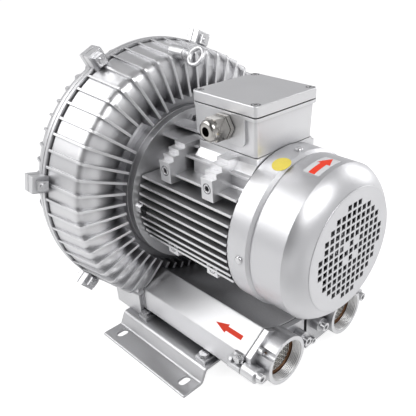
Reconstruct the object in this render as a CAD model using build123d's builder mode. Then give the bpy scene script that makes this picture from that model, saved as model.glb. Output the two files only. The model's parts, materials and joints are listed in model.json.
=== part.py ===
# Side channel blower with a flanged motor, two silencers and two threaded ports.
# Millimetres, +Z up. The origin is on the floor, in the middle of the four foot slots.
# The shaft runs along Y: the fan cowl and the ports are at -Y, the casing cover is at +Y.
import os
from math import cos, radians, sin, sqrt

from build123d import *

os.makedirs("parts", exist_ok=True)

# Driving sizes: shaft and casing
shaft_height = 205.0
wheel_mid_y = 121.5  # middle plane of the wheel and of the ring channel
wheel_width = 50.0
side_gap = 0.5  # wheel to the lands of casing and cover
casing_gasket = 1.0
split_y = 127.0  # joint plane between housing and cover
rim_radius = 191.5
rim_thickness = 5.5
rim_groove_width = 2.5  # groove between the rim and the outer wall
rim_groove_radius = 184.0
wall_start_radius = 188.0  # outer wall at the groove
wall_end_radius = 181.7  # outer wall where it bends to the crown
channel_outer_radius = 174.0
channel_inner_radius = 126.0
land_radius = 103.0
housing_bend_y = 72.0
housing_crown_y = 55.2
housing_crown_radius = 152.0
cover_bend_y = 153.0
cover_crown_y = 178.5
cover_crown_radius = 146.0
lip_radius = 126.0  # inner edge of the crown, next to the motor flange
lip_y = 65.0
bend_reach = 11.8  # round between the outer wall and the crown, along the shaft
bend_inset = 9.2  # the same, towards the shaft
housing_channel = {"bend": 82.0, "crown": 62.0, "inner": 72.0}
cover_channel = {"bend": 150.0, "crown": 171.5, "inner": 163.5}
rib_count = 56
rib_thickness = 3.4
rib_kink_radius = 184.0
rib_kink_y = 60.0
rib_end_radius = 122.0
rib_end_y = 46.0
short_rib_end_radius = 138.0
cover_kink_radius = 181.0
cover_kink_y = 162.0
cover_top_y = 183.5
lug_radius = 198.0
lug_width = 22.0
lug_reach = 11.0
lug_ribs = (4, 12, 20, 36, 44, 52)  # ribs that end in a flange lug
rim_screw_gaps = (23, 27, 32)  # rib gaps at the bottom with a screw through the rim
housing_lug_thickness = 10.5
cover_lug_thickness = 8.5
bolt_clearance = 0.4  # radial, all through holes

# Driving sizes: motor
flange_radius = 112.0
flange_seat_offset = 63.5
flange_thickness = 12.0
flange_bolt_radius = 98.0
frame_bore_radius = 67.5
frame_wall = 8.0
frame_length = 164.5
fin_radius = 103.0
fin_pitch = 11.0
fin_thickness = 3.2
fit_clearance = 0.05  # radial, seats and spigots
spigot_depth = 8.0
stator_length = 100.0
air_gap = 0.5
rotor_radius = 42.0
pad_face = 92.0
pad_spacing = 75.0
pad_front_y = -80.0
pad_height = 66.0
low_pad_drop = 43.5
pad_hole_radius = 3.4

# Driving sizes: rolling bearings (drive end and fan end)
drive_bearing = {"bore": 15.0, "outer": 31.0, "width": 16.0}
fan_bearing = {"bore": 12.5, "outer": 26.0, "width": 15.0}
ball_gap = 0.3
seal_radius = 23.5
seal_width = 8.0

# Driving sizes: cowl and fan
cowl_face_y = -219.5
cowl_face_radius = 75.7
cowl_crease_y = -196.0
cowl_groove_y = -150.0
cowl_rear_y = -119.0
cowl_radius = 98.4
cowl_band_radius = 101.4
cowl_sheet = 2.0
mesh_pitch = 9.8
mesh_hole = 7.0
mesh_cells = 6.1  # open cells from the middle to the edge of the mesh
fan_radius = 84.0
fan_blades = 8
fan_mid_y = -180.0
fan_width = 32.0

# Driving sizes: terminal box
box_mid_y = -70.5
box_bottom = 305.0
box_top = 352.8
box_half_width = 49.5
box_half_length = 47.3
box_flare = 1.5
box_sheet = 3.5
lid_height = 12.2
lid_overhang = 2.5
box_gasket = 1.0
gland_y = -74.0
gland_height = 334.5
gland_radius = 12.5

# Driving sizes: silencers and ports
port_x = 64.4
port_height = 54.0
port_mouth_y = -181.3
port_boss_radius = 33.9
port_thread_radius = 28.33
thread_length = 14.5
ring_seat_length = 3.5
ring_seat_radius = 29.4
silencer_front_y = -150.0
silencer_back_offset = 65.5
silencer_side = 108.0
silencer_inner_x = 3.0
chamber_radius = 29.5
saddle_radius = 132.5
port_plate = 8.0
ear_offset = 45.0
ear_radius = 10.0
ear_front_y = -172.0
duct_radius = 24.0
duct_height = 72.0

# Driving sizes: feet
foot_half_width = 162.0
foot_half_length = 91.0
foot_sheet = 4.0
foot_flange = 30.0
foot_height = 22.4
foot_inner_x = 95.0
slot_x = 144.5
slot_y = 70.5
slot_radius = 6.0
slot_length = 18.0

# Driving sizes: lifting eye
eye_height = 386.0
eye_y = 31.0
eye_ring_radius = 11.5
eye_wire_radius = 2.7
eye_turn = 38.0

# Metric fasteners: shank radius, width across flats of the hexagon, head height
m5 = {"r": 2.5, "flats": 8.0, "head": 3.5}
m6 = {"r": 3.0, "flats": 10.0, "head": 4.0}
m8 = {"r": 4.0, "flats": 13.0, "head": 5.3}

shaft_axis = Axis((0, 0, shaft_height), (0, 1, 0))
turned = Plane(origin=(0, 0, shaft_height), x_dir=(0, 0, 1), z_dir=(-1, 0, 0))


def across(y):
    """Plane square to the shaft, centred on it, seen from the fan end."""
    return Plane(origin=(0, y, shaft_height), x_dir=(1, 0, 0), z_dir=(0, -1, 0))


def upright(y):
    """Plane square to the shaft, with its origin on the floor, seen from the fan end."""
    return Plane(origin=(0, y, 0), x_dir=(1, 0, 0), z_dir=(0, -1, 0))


def radial_plane(angle):
    """Plane through the shaft axis; local x is the radius, local y runs along +Y."""
    a = radians(angle)
    out = (-sin(a), 0, cos(a))
    return Plane(origin=(0, 0, shaft_height), x_dir=out, z_dir=(-cos(a), 0, -sin(a)))


def around(angle, radius, y, towards):
    """Place on a circle about the shaft, with its axis along +Y or -Y."""
    a = radians(angle)
    place = (-radius * sin(a), y, shaft_height + radius * cos(a))
    return Plane(origin=place, x_dir=(cos(a), 0, sin(a)), z_dir=(0, towards, 0)).location


def hex_bolt(size, length):
    """Hexagon bolt: the head stands on z = 0 and the shank runs down."""
    with BuildPart() as bolt:
        with BuildSketch():
            RegularPolygon(size["flats"] / 2, 6, major_radius=False)
        extrude(amount=size["head"])
        with BuildSketch():
            Circle(size["r"])
        extrude(amount=-length)
    return bolt.part


def socket_screw(size, length):
    """Socket head screw: the head stands on z = 0 and the shank runs down."""
    head_height = 2 * size["r"]
    with BuildPart() as screw:
        with BuildSketch():
            Circle(1.6 * size["r"])
        extrude(amount=head_height)
        with BuildSketch(Plane.XY.offset(head_height)):
            RegularPolygon(0.75 * size["r"], 6, major_radius=False)
        extrude(amount=-size["r"], mode=Mode.SUBTRACT)
        with BuildSketch():
            Circle(size["r"])
        extrude(amount=-length)
    return screw.part


# Ring casing: two halves with the same kind of section, turned about the shaft
housing_face_y = split_y - casing_gasket / 2
cover_face_y = split_y + casing_gasket / 2
rim_front_y = housing_face_y - rim_thickness
rim_rear_y = cover_face_y + rim_thickness
land_offset = wheel_width / 2 + side_gap
hub_recess_radius = 60.0
hub_recess_offset = 38.0
flange_seat_y = wheel_mid_y - flange_seat_offset
bearing_wall_y = flange_seat_y - spigot_depth
recess_y = wheel_mid_y - hub_recess_offset
lip_width = 4.0
lip_floor_y = 68.0
cover_hub_y = 173.5
rib_pitch = 360.0 / rib_count
rib_root_radius = 177.0
kink_drop = 5.5  # the rib edge drops and steps in at its kink
kink_inset = 5.0
cover_kink_inset = 14.0
cover_flat_inset = 26.0


def half_section(side, face_y, bend_y, crown_radius, crown_y, inner_points):
    """Outer form of a casing half, from its rim over the wall and the crown to inner_points."""
    rim_y = face_y + side * rim_thickness
    wall_y = rim_y + side * rim_groove_width
    shoulder_y = bend_y + side * bend_reach
    with BuildPart() as half:
        with BuildSketch(turned):
            with BuildLine():
                Polyline(
                    inner_points[-1],
                    (0, face_y),
                    (rim_radius, face_y),
                    (rim_radius, rim_y),
                    (rim_groove_radius, rim_y),
                    (rim_groove_radius, wall_y),
                    (wall_start_radius, wall_y),
                    (wall_end_radius, bend_y),
                )
                ThreePointArc(
                    (wall_end_radius, bend_y),
                    (wall_end_radius - 0.3 * bend_inset, bend_y + 0.55 * side * bend_reach),
                    (wall_end_radius - bend_inset, shoulder_y),
                )
                ThreePointArc(
                    (wall_end_radius - bend_inset, shoulder_y), (crown_radius, crown_y), inner_points[0]
                )
                Polyline(*inner_points)
            make_face()
        revolve(axis=shaft_axis)
    return half.part


def casing_channel(side, face_y, size):
    """Half of the ring channel with the room for the wheel hub."""
    land_y = wheel_mid_y + side * land_offset
    hub_y = wheel_mid_y + side * hub_recess_offset
    with BuildPart() as channel:
        with BuildSketch(turned):
            with BuildLine():
                Polyline(
                    (0, face_y),
                    (channel_outer_radius, face_y),
                    (channel_outer_radius, size["bend"]),
                )
                ThreePointArc(
                    (channel_outer_radius, size["bend"]),
                    ((channel_outer_radius + channel_inner_radius) / 2, size["crown"]),
                    (channel_inner_radius, size["inner"]),
                )
                Polyline(
                    (channel_inner_radius, size["inner"]),
                    (land_radius, land_y),
                    (hub_recess_radius, land_y),
                    (hub_recess_radius, hub_y),
                    (0, hub_y),
                    (0, face_y),
                )
            make_face()
        revolve(axis=shaft_axis)
    return channel.part


def rib_end(k):
    """Radius at which a housing rib ends: at the hub, at the lip or short of both."""
    place = min(k, rib_count - k)
    if place < 3:
        return lip_radius + 1
    if place in (6, 7):
        return short_rib_end_radius
    return rib_end_radius


def housing_ribs():
    """Ribs along the outside of the housing and across its crown."""
    slope = (rib_kink_y - kink_drop - rib_end_y) / (rib_kink_radius - kink_inset - rib_end_radius)
    with BuildPart() as ribs:
        for k in range(rib_count):
            end_radius = rib_end(k)
            end_y = rib_end_y + slope * (end_radius - rib_end_radius)
            with BuildSketch(radial_plane(k * rib_pitch)):
                Polygon(
                    (rib_root_radius, rim_front_y + 1),
                    (rim_radius - 0.5, rim_front_y + 1),
                    (rib_kink_radius, rib_kink_y),
                    (rib_kink_radius - 0.3 * kink_inset, rib_kink_y - 0.55 * kink_drop),
                    (rib_kink_radius - kink_inset, rib_kink_y - kink_drop),
                    (end_radius, end_y),
                    (end_radius, lip_floor_y + 2),
                    (housing_crown_radius, housing_crown_y + 4),
                    (rib_root_radius, housing_bend_y + 4),
                    align=None,
                )
        extrude(amount=rib_thickness / 2, both=True)
    return ribs.part


def cover_ribs(inner_radius):
    """Ribs along the outside of the cover; every second one goes on towards the middle."""
    with BuildPart() as ribs:
        for k in range(rib_count):
            end_radius = inner_radius if k % 2 else short_rib_end_radius
            with BuildSketch(radial_plane(k * rib_pitch)):
                Polygon(
                    (rib_root_radius, rim_rear_y - 1),
                    (rim_radius - 0.5, rim_rear_y - 1),
                    (cover_kink_radius, cover_kink_y),
                    (cover_kink_radius - cover_kink_inset, cover_top_y - kink_drop),
                    (cover_kink_radius - cover_flat_inset, cover_top_y),
                    (end_radius, cover_top_y),
                    (end_radius, cover_hub_y - 3),
                    (cover_crown_radius, cover_hub_y - 3),
                    (rib_root_radius - 8, cover_bend_y),
                    align=None,
                )
        extrude(amount=rib_thickness / 2, both=True)
    return ribs.part


def casing_lugs(face_y, thickness, side):
    """Flange lugs that carry the casing bolts."""
    with BuildPart() as lugs:
        for angle in lug_places:
            with BuildSketch(Plane(around(angle, lug_radius, face_y, side))):
                Rectangle(lug_width, 2 * lug_reach)
        extrude(amount=thickness)
    return lugs.part


lug_places = [k * rib_pitch for k in lug_ribs]
rim_screw_places = [(gap + 0.5) * rib_pitch for gap in rim_screw_gaps]
rim_screw_radius = (rim_radius + channel_outer_radius) / 2


# Silencers: one outline serves both castings, their gaskets and the duct block of the casing
silencer_bottom = 14.0
keel_x = 88.0
keel_top = 30.0
side_low = 36.0
side_high = 72.0
shoulder_x = 74.0
silencer_back_y = wheel_mid_y - silencer_back_offset
tie_places = [(91.0, 76.0), (14.0, 24.0)]  # x from the middle, height of the tie screws
foot_bolt_x = 111.0
foot_bolt_ys = (-75.0, 53.5)
foot_pad_thickness = 5.0


def saddle(x):
    """Height of the hollow under the motor at a distance x from the middle."""
    return shaft_height - sqrt(saddle_radius**2 - x**2)


def silencer_outline(y, side):
    """Section of one silencer; side is -1 for the left one and 1 for the right one."""
    arc_x = (shoulder_x + silencer_inner_x) / 2
    with BuildSketch(upright(y)) as outline:
        with BuildLine():
            Polyline(
                (side * silencer_inner_x, saddle(silencer_inner_x)),
                (side * silencer_inner_x, silencer_bottom),
                (side * keel_x, silencer_bottom),
                (side * (keel_x + 6), keel_top),
                (side * silencer_side, side_low),
                (side * silencer_side, side_high),
                (side * shoulder_x, saddle(shoulder_x)),
            )
            ThreePointArc(
                (side * shoulder_x, saddle(shoulder_x)),
                (side * arc_x, saddle(arc_x)),
                (side * silencer_inner_x, saddle(silencer_inner_x)),
            )
        make_face()
    return outline.sketch


# Blower housing: casing half on the motor side, with ducts, legs, bearing seat and eye boss
leg_outer_x = 114.0
leg_inner_x = 96.0
leg_front_y = 61.0
eye_boss_radius = 9.0
eye_boss_y = 50.0
eye_web_radius = 150.0
flange_bolt_depth = 16.0
rim_screw_depth = 14.0
silencer_room = 1.0  # ribs are cut back this far around the silencers
with BuildPart() as blower_housing:
    hub_points = [
        (lip_radius, lip_y),
        (lip_radius - lip_width, lip_y),
        (lip_radius - lip_width, lip_floor_y),
        (flange_radius, lip_floor_y),
        (flange_radius, flange_seat_y),
        (0, flange_seat_y),
    ]
    add(half_section(-1, housing_face_y, housing_bend_y, housing_crown_radius, housing_crown_y, hub_points))
    add(housing_ribs())
    add(casing_lugs(housing_face_y, housing_lug_thickness, -1))
    for side in (-1, 1):
        block = silencer_outline(rim_front_y, side)
        extrude(block, amount=rim_front_y - silencer_back_y, dir=(0, -1, 0))
    with BuildSketch(upright(rim_front_y)):
        with Locations((0, (silencer_bottom + side_high) / 2)):
            Rectangle(4 * silencer_inner_x, side_high - silencer_bottom)
    extrude(amount=rim_front_y - leg_front_y)
    leg_mid_x = (leg_outer_x + leg_inner_x) / 2
    with BuildSketch(Plane.XY.offset(foot_height)):
        with Locations(
            (-leg_mid_x, (leg_front_y + rim_front_y) / 2),
            (leg_mid_x, (leg_front_y + rim_front_y) / 2),
        ):
            Rectangle(leg_outer_x - leg_inner_x, rim_front_y - leg_front_y)
    extrude(amount=side_high)
    with BuildSketch(Plane.XY.offset(foot_height)):
        with Locations((-foot_bolt_x + 6, foot_bolt_ys[1]), (foot_bolt_x - 6, foot_bolt_ys[1])):
            Rectangle(26, 18)
    extrude(amount=foot_pad_thickness)
    with BuildSketch(radial_plane(0)):
        Polygon(
            (eye_web_radius, eye_boss_y + 14),
            (eye_height - shaft_height - 6, eye_boss_y),
            (eye_height - shaft_height + 6, eye_boss_y),
            (eye_height - shaft_height + 6, eye_boss_y + 26),
            (eye_web_radius, eye_boss_y + 30),
            align=None,
        )
    extrude(amount=5, both=True)
    with BuildSketch(upright(eye_boss_y + 26)):
        with Locations((0, eye_height)):
            Circle(eye_boss_radius)
    extrude(amount=26)
    with BuildSketch(across(flange_seat_y)):
        Circle(frame_bore_radius - fit_clearance)
    extrude(amount=spigot_depth)
    with BuildSketch(upright(silencer_back_y)):
        for side in (-1, 1):
            add(silencer_outline(silencer_back_y, side))
        offset(amount=silencer_room)
    extrude(amount=silencer_back_y - rib_end_y + rib_thickness, mode=Mode.SUBTRACT)
    add(casing_channel(-1, housing_face_y, housing_channel), mode=Mode.SUBTRACT)
    with BuildSketch(turned):
        Polygon(
            (0, bearing_wall_y),
            (drive_bearing["outer"] + fit_clearance, bearing_wall_y),
            (drive_bearing["outer"] + fit_clearance, bearing_wall_y + drive_bearing["width"]),
            (seal_radius - 3, bearing_wall_y + drive_bearing["width"]),
            (seal_radius - 3, recess_y - seal_width),
            (seal_radius, recess_y - seal_width),
            (seal_radius, recess_y),
            (0, recess_y),
            align=None,
        )
    revolve(axis=shaft_axis, mode=Mode.SUBTRACT)
    with BuildSketch(upright(silencer_back_y)):
        with Locations((-port_x, duct_height), (port_x, duct_height)):
            Circle(duct_radius)
    extrude(amount=-(wheel_mid_y - land_offset - silencer_back_y), mode=Mode.SUBTRACT)
    for angle in lug_places:
        with BuildSketch(Plane(around(angle, lug_radius, split_y, -1))):
            Circle(m8["r"] + bolt_clearance)
        extrude(amount=2 * housing_lug_thickness, mode=Mode.SUBTRACT)
    for angle in rim_screw_places:
        with BuildSketch(Plane(around(angle, rim_screw_radius, split_y, -1))):
            Circle(m6["r"] + fit_clearance)
        extrude(amount=rim_screw_depth, mode=Mode.SUBTRACT)
    with BuildSketch(across(flange_seat_y)):
        with PolarLocations(flange_bolt_radius, 4):
            Circle(m8["r"] + fit_clearance)
    extrude(amount=-flange_bolt_depth, mode=Mode.SUBTRACT)
    with BuildSketch(upright(silencer_back_y)):
        with Locations(*[(s * x, z) for s in (-1, 1) for x, z in tie_places]):
            Circle(m6["r"] + fit_clearance)
    extrude(amount=-18, mode=Mode.SUBTRACT)
    with BuildSketch(Plane.XY.offset(foot_height)):
        with Locations((-foot_bolt_x, foot_bolt_ys[1]), (foot_bolt_x, foot_bolt_ys[1])):
            Circle(m8["r"] + bolt_clearance)
    extrude(amount=foot_pad_thickness, mode=Mode.SUBTRACT)
    with BuildSketch(upright(eye_boss_y)):
        with Locations((0, eye_height)):
            Circle(m8["r"] + fit_clearance)
    extrude(amount=-18, mode=Mode.SUBTRACT)
blower_housing.part.label = "blower_housing"
export_step(blower_housing.part, "parts/blower_housing.step")


# Casing cover: the far half of the ring channel, closed at the middle by a cap
cover_rib_end_radius = 62.0
cover_cap_radius = 46.0
cover_lug_y = cover_face_y + cover_lug_thickness
with BuildPart() as casing_cover:
    centre_points = [(flange_radius, cover_hub_y), (0, cover_hub_y)]
    add(half_section(1, cover_face_y, cover_bend_y, cover_crown_radius, cover_crown_y, centre_points))
    add(cover_ribs(cover_rib_end_radius))
    add(casing_lugs(cover_face_y, cover_lug_thickness, 1))
    with BuildSketch(across(cover_hub_y)):
        Circle(cover_cap_radius)
    extrude(amount=-(cover_top_y - cover_hub_y))
    add(casing_channel(1, cover_face_y, cover_channel), mode=Mode.SUBTRACT)
    for angle in lug_places:
        with BuildSketch(Plane(around(angle, lug_radius, split_y, 1))):
            Circle(m8["r"] + bolt_clearance)
        extrude(amount=2 * cover_lug_thickness, mode=Mode.SUBTRACT)
    for angle in rim_screw_places:
        with BuildSketch(Plane(around(angle, rim_screw_radius, split_y, 1))):
            Circle(m6["r"] + bolt_clearance)
        extrude(amount=2 * rim_thickness, mode=Mode.SUBTRACT)
        with BuildSketch(Plane(around(angle, rim_screw_radius, rim_rear_y, 1))):
            Circle(m6["flats"] / 2 + 2)
        extrude(amount=cover_top_y - rim_rear_y, mode=Mode.SUBTRACT)
casing_cover.part.label = "casing_cover"
export_step(casing_cover.part, "parts/casing_cover.step")

# Gasket between the casing halves, inside the ring of lug bolts
with BuildPart() as casing_seal:
    with BuildSketch(across(cover_face_y)):
        Circle(rim_radius - 1)
        Circle(channel_outer_radius + 1, mode=Mode.SUBTRACT)
        for angle in rim_screw_places:
            a = radians(angle)
            with Locations((-rim_screw_radius * sin(a), rim_screw_radius * cos(a))):
                Circle(m6["r"] + bolt_clearance, mode=Mode.SUBTRACT)
    extrude(amount=casing_gasket)
casing_seal.part.label = "casing_seal"
export_step(casing_seal.part, "parts/casing_seal.step")

# Casing bolts through the lugs, with square nuts on the motor side
nut_height = 6.5
housing_lug_y = housing_face_y - housing_lug_thickness
casing_bolt = hex_bolt(m8, cover_lug_y - housing_lug_y + nut_height + 2)
with BuildPart() as casing_bolts:
    with Locations(*[around(angle, lug_radius, cover_lug_y, 1) for angle in lug_places]):
        add(casing_bolt)
casing_bolts.part.label = "casing_bolts"
export_step(casing_bolts.part, "parts/casing_bolts.step")

with BuildPart() as casing_nuts:
    for angle in lug_places:
        with BuildSketch(Plane(around(angle, lug_radius, housing_lug_y, -1))):
            Rectangle(m8["flats"], m8["flats"])
            Circle(m8["r"] + fit_clearance, mode=Mode.SUBTRACT)
    extrude(amount=nut_height)
casing_nuts.part.label = "casing_nuts"
export_step(casing_nuts.part, "parts/casing_nuts.step")

# Screws through the rim at the bottom, where there is no room for lugs
rim_screw = hex_bolt(m6, rim_rear_y - split_y + rim_screw_depth - 2)
with BuildPart() as rim_screws:
    with Locations(*[around(angle, rim_screw_radius, rim_rear_y, 1) for angle in rim_screw_places]):
        add(rim_screw)
rim_screws.part.label = "rim_screws"
export_step(rim_screws.part, "parts/rim_screws.step")

# Wheel: hub, web and rim with curved blades on both faces, cast in one piece
shaft_end_radius = 14.0
wheel_hub_radius = 34.0
wheel_web = 10.0
wheel_rim_inner = 92.0
wheel_rim_outer = 105.0
wheel_radius = 166.0
blade_count = 46
blade_thickness = 2.4
blade_bow = 7.0
divider_thickness = 4.0
hub_overhang = 8.0
key_width = 8.0
key_rise = 3.3
key_length = 40.0
wheel_front_y = wheel_mid_y - wheel_width / 2
wheel_back_y = wheel_mid_y + wheel_width / 2
hub_front_y = wheel_front_y - hub_overhang
blade_root = wheel_rim_outer - 3
blade_mid = (blade_root + wheel_radius) / 2
with BuildSketch() as blade_profile:
    with BuildLine():
        ThreePointArc((blade_root, 0), (blade_mid, blade_bow), (wheel_radius, 0))
        Line((wheel_radius, 0), (wheel_radius, blade_thickness))
        ThreePointArc(
            (wheel_radius, blade_thickness),
            (blade_mid, blade_bow + blade_thickness),
            (blade_root, blade_thickness),
        )
        Line((blade_root, blade_thickness), (blade_root, 0))
    make_face()
with BuildPart() as wheel:
    with BuildSketch(turned):
        Polygon(
            (shaft_end_radius + fit_clearance, hub_front_y),
            (wheel_hub_radius, hub_front_y),
            (wheel_hub_radius + 6, wheel_mid_y - wheel_web),
            (wheel_rim_inner - 8, wheel_mid_y - wheel_web / 2),
            (wheel_rim_inner, wheel_front_y),
            (wheel_rim_outer, wheel_front_y),
            (wheel_rim_outer + 3, wheel_mid_y - divider_thickness),
            (wheel_radius, wheel_mid_y - divider_thickness / 2),
            (wheel_radius, wheel_mid_y + divider_thickness / 2),
            (wheel_rim_outer + 3, wheel_mid_y + divider_thickness),
            (wheel_rim_outer, wheel_back_y),
            (wheel_rim_inner, wheel_back_y),
            (wheel_rim_inner - 8, wheel_mid_y + wheel_web / 2),
            (wheel_hub_radius + 6, wheel_mid_y + wheel_web),
            (wheel_hub_radius, wheel_back_y),
            (shaft_end_radius + fit_clearance, wheel_back_y),
            align=None,
        )
    revolve(axis=shaft_axis)
    with BuildSketch(across(wheel_back_y)):
        with PolarLocations(0, blade_count):
            add(blade_profile.sketch)
    extrude(amount=wheel_width)
    with BuildSketch(across(wheel_back_y)):
        with Locations((0, shaft_end_radius)):
            Rectangle(key_width + 2 * fit_clearance, 2 * (key_rise + 0.2))
    extrude(amount=wheel_back_y - hub_front_y, mode=Mode.SUBTRACT)
wheel.part.label = "wheel"
export_step(wheel.part, "parts/wheel.step")

# Key, washer and screw that hold the wheel on the shaft end
shaft_end_y = wheel_back_y - 2.0
with BuildPart() as wheel_key:
    with BuildSketch(across(shaft_end_y - 4)):
        with Locations((0, shaft_end_radius)):
            Rectangle(key_width, 2 * key_rise)
    extrude(amount=key_length)
wheel_key.part.label = "wheel_key"
export_step(wheel_key.part, "parts/wheel_key.step")

washer_radius = 24.0
washer_thickness = 4.0
with BuildPart() as wheel_washer:
    with BuildSketch(across(wheel_back_y)):
        Circle(washer_radius)
        Circle(m8["r"] + bolt_clearance, mode=Mode.SUBTRACT)
    extrude(amount=-washer_thickness)
wheel_washer.part.label = "wheel_washer"
export_step(wheel_washer.part, "parts/wheel_washer.step")

wheel_bolt = hex_bolt(m8, 30.0)
with BuildPart() as wheel_screw:
    with Locations(Plane(around(0, 0, wheel_back_y + washer_thickness, 1)).location):
        add(wheel_bolt)
wheel_screw.part.label = "wheel_screw"
export_step(wheel_screw.part, "parts/wheel_screw.step")

# Shaft: one turned piece with seats for fan, bearings, rotor core and wheel
flange_front_y = flange_seat_y - flange_thickness
frame_rear_y = flange_front_y - frame_length
core_mid_y = (flange_front_y + frame_rear_y) / 2
drive_seat_y = bearing_wall_y + drive_bearing["width"]
shield_web = 9.0
fan_bearing_y = frame_rear_y - 1.5
fan_seat_radius = 12.0
fan_end_y = fan_mid_y - fan_width / 2
shaft_fan_y = fan_end_y - 8.0
core_radius = 18.0
shoulder_radius = 17.0
with BuildPart() as shaft:
    with BuildSketch(turned):
        Polygon(
            (0, shaft_fan_y),
            (fan_seat_radius - 1, shaft_fan_y),
            (fan_seat_radius, shaft_fan_y + 1),
            (fan_seat_radius, fan_bearing_y - fan_bearing["width"]),
            (fan_bearing["bore"], fan_bearing_y - fan_bearing["width"]),
            (fan_bearing["bore"], fan_bearing_y),
            (shoulder_radius, fan_bearing_y),
            (shoulder_radius, core_mid_y - stator_length / 2),
            (core_radius, core_mid_y - stator_length / 2),
            (core_radius, core_mid_y + stator_length / 2),
            (shoulder_radius, core_mid_y + stator_length / 2),
            (shoulder_radius, bearing_wall_y),
            (drive_bearing["bore"], bearing_wall_y),
            (drive_bearing["bore"], drive_seat_y),
            (shaft_end_radius, drive_seat_y),
            (shaft_end_radius, shaft_end_y - 1),
            (shaft_end_radius - 1, shaft_end_y),
            (0, shaft_end_y),
            align=None,
        )
    revolve(axis=shaft_axis)
    with BuildSketch(across(shaft_end_y - 4)):
        with Locations((0, shaft_end_radius)):
            Rectangle(key_width, 2 * key_rise)
    extrude(amount=key_length, mode=Mode.SUBTRACT)
    with BuildSketch(across(shaft_end_y)):
        Circle(m8["r"] + fit_clearance)
    extrude(amount=30.0, mode=Mode.SUBTRACT)
shaft.part.label = "shaft"
export_step(shaft.part, "parts/shaft.step")

# Rotor core and the two end rings of its cast cage
end_ring_inner = 26.0
end_ring_length = 12.0
with BuildPart() as rotor_core:
    with BuildSketch(across(core_mid_y - stator_length / 2)):
        Circle(rotor_radius)
        Circle(core_radius, mode=Mode.SUBTRACT)
    extrude(amount=-stator_length)
rotor_core.part.label = "rotor_core"
export_step(rotor_core.part, "parts/rotor_core.step")

with BuildPart() as rotor_end_rings:
    for start, way in ((core_mid_y - stator_length / 2, 1), (core_mid_y + stator_length / 2, -1)):
        with BuildSketch(across(start)):
            Circle(rotor_radius - 2)
            Circle(end_ring_inner, mode=Mode.SUBTRACT)
        extrude(amount=way * end_ring_length)
rotor_end_rings.part.label = "rotor_end_rings"
export_step(rotor_end_rings.part, "parts/rotor_end_rings.step")

# Stator core with its slots, and the winding heads at both ends
stator_slots = 24
with BuildPart() as stator_core:
    with BuildSketch(across(core_mid_y - stator_length / 2)):
        Circle(frame_bore_radius - fit_clearance)
        Circle(rotor_radius + air_gap, mode=Mode.SUBTRACT)
        with PolarLocations((rotor_radius + air_gap + 56) / 2, stator_slots):
            Rectangle(56 - rotor_radius, 4.5, mode=Mode.SUBTRACT)
    extrude(amount=-stator_length)
stator_core.part.label = "stator_core"
export_step(stator_core.part, "parts/stator_core.step")

winding_length = 22.0
with BuildPart() as stator_windings:
    for start, way in ((core_mid_y - stator_length / 2, -1), (core_mid_y + stator_length / 2, 1)):
        with BuildSketch(turned):
            Polygon(
                (rotor_radius + 5, start),
                (frame_bore_radius - 5, start),
                (frame_bore_radius - 7, start + way * winding_length),
                (rotor_radius + 9, start + way * winding_length),
                align=None,
            )
        revolve(axis=shaft_axis)
stator_windings.part.label = "stator_windings"
export_step(stator_windings.part, "parts/stator_windings.step")

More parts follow.
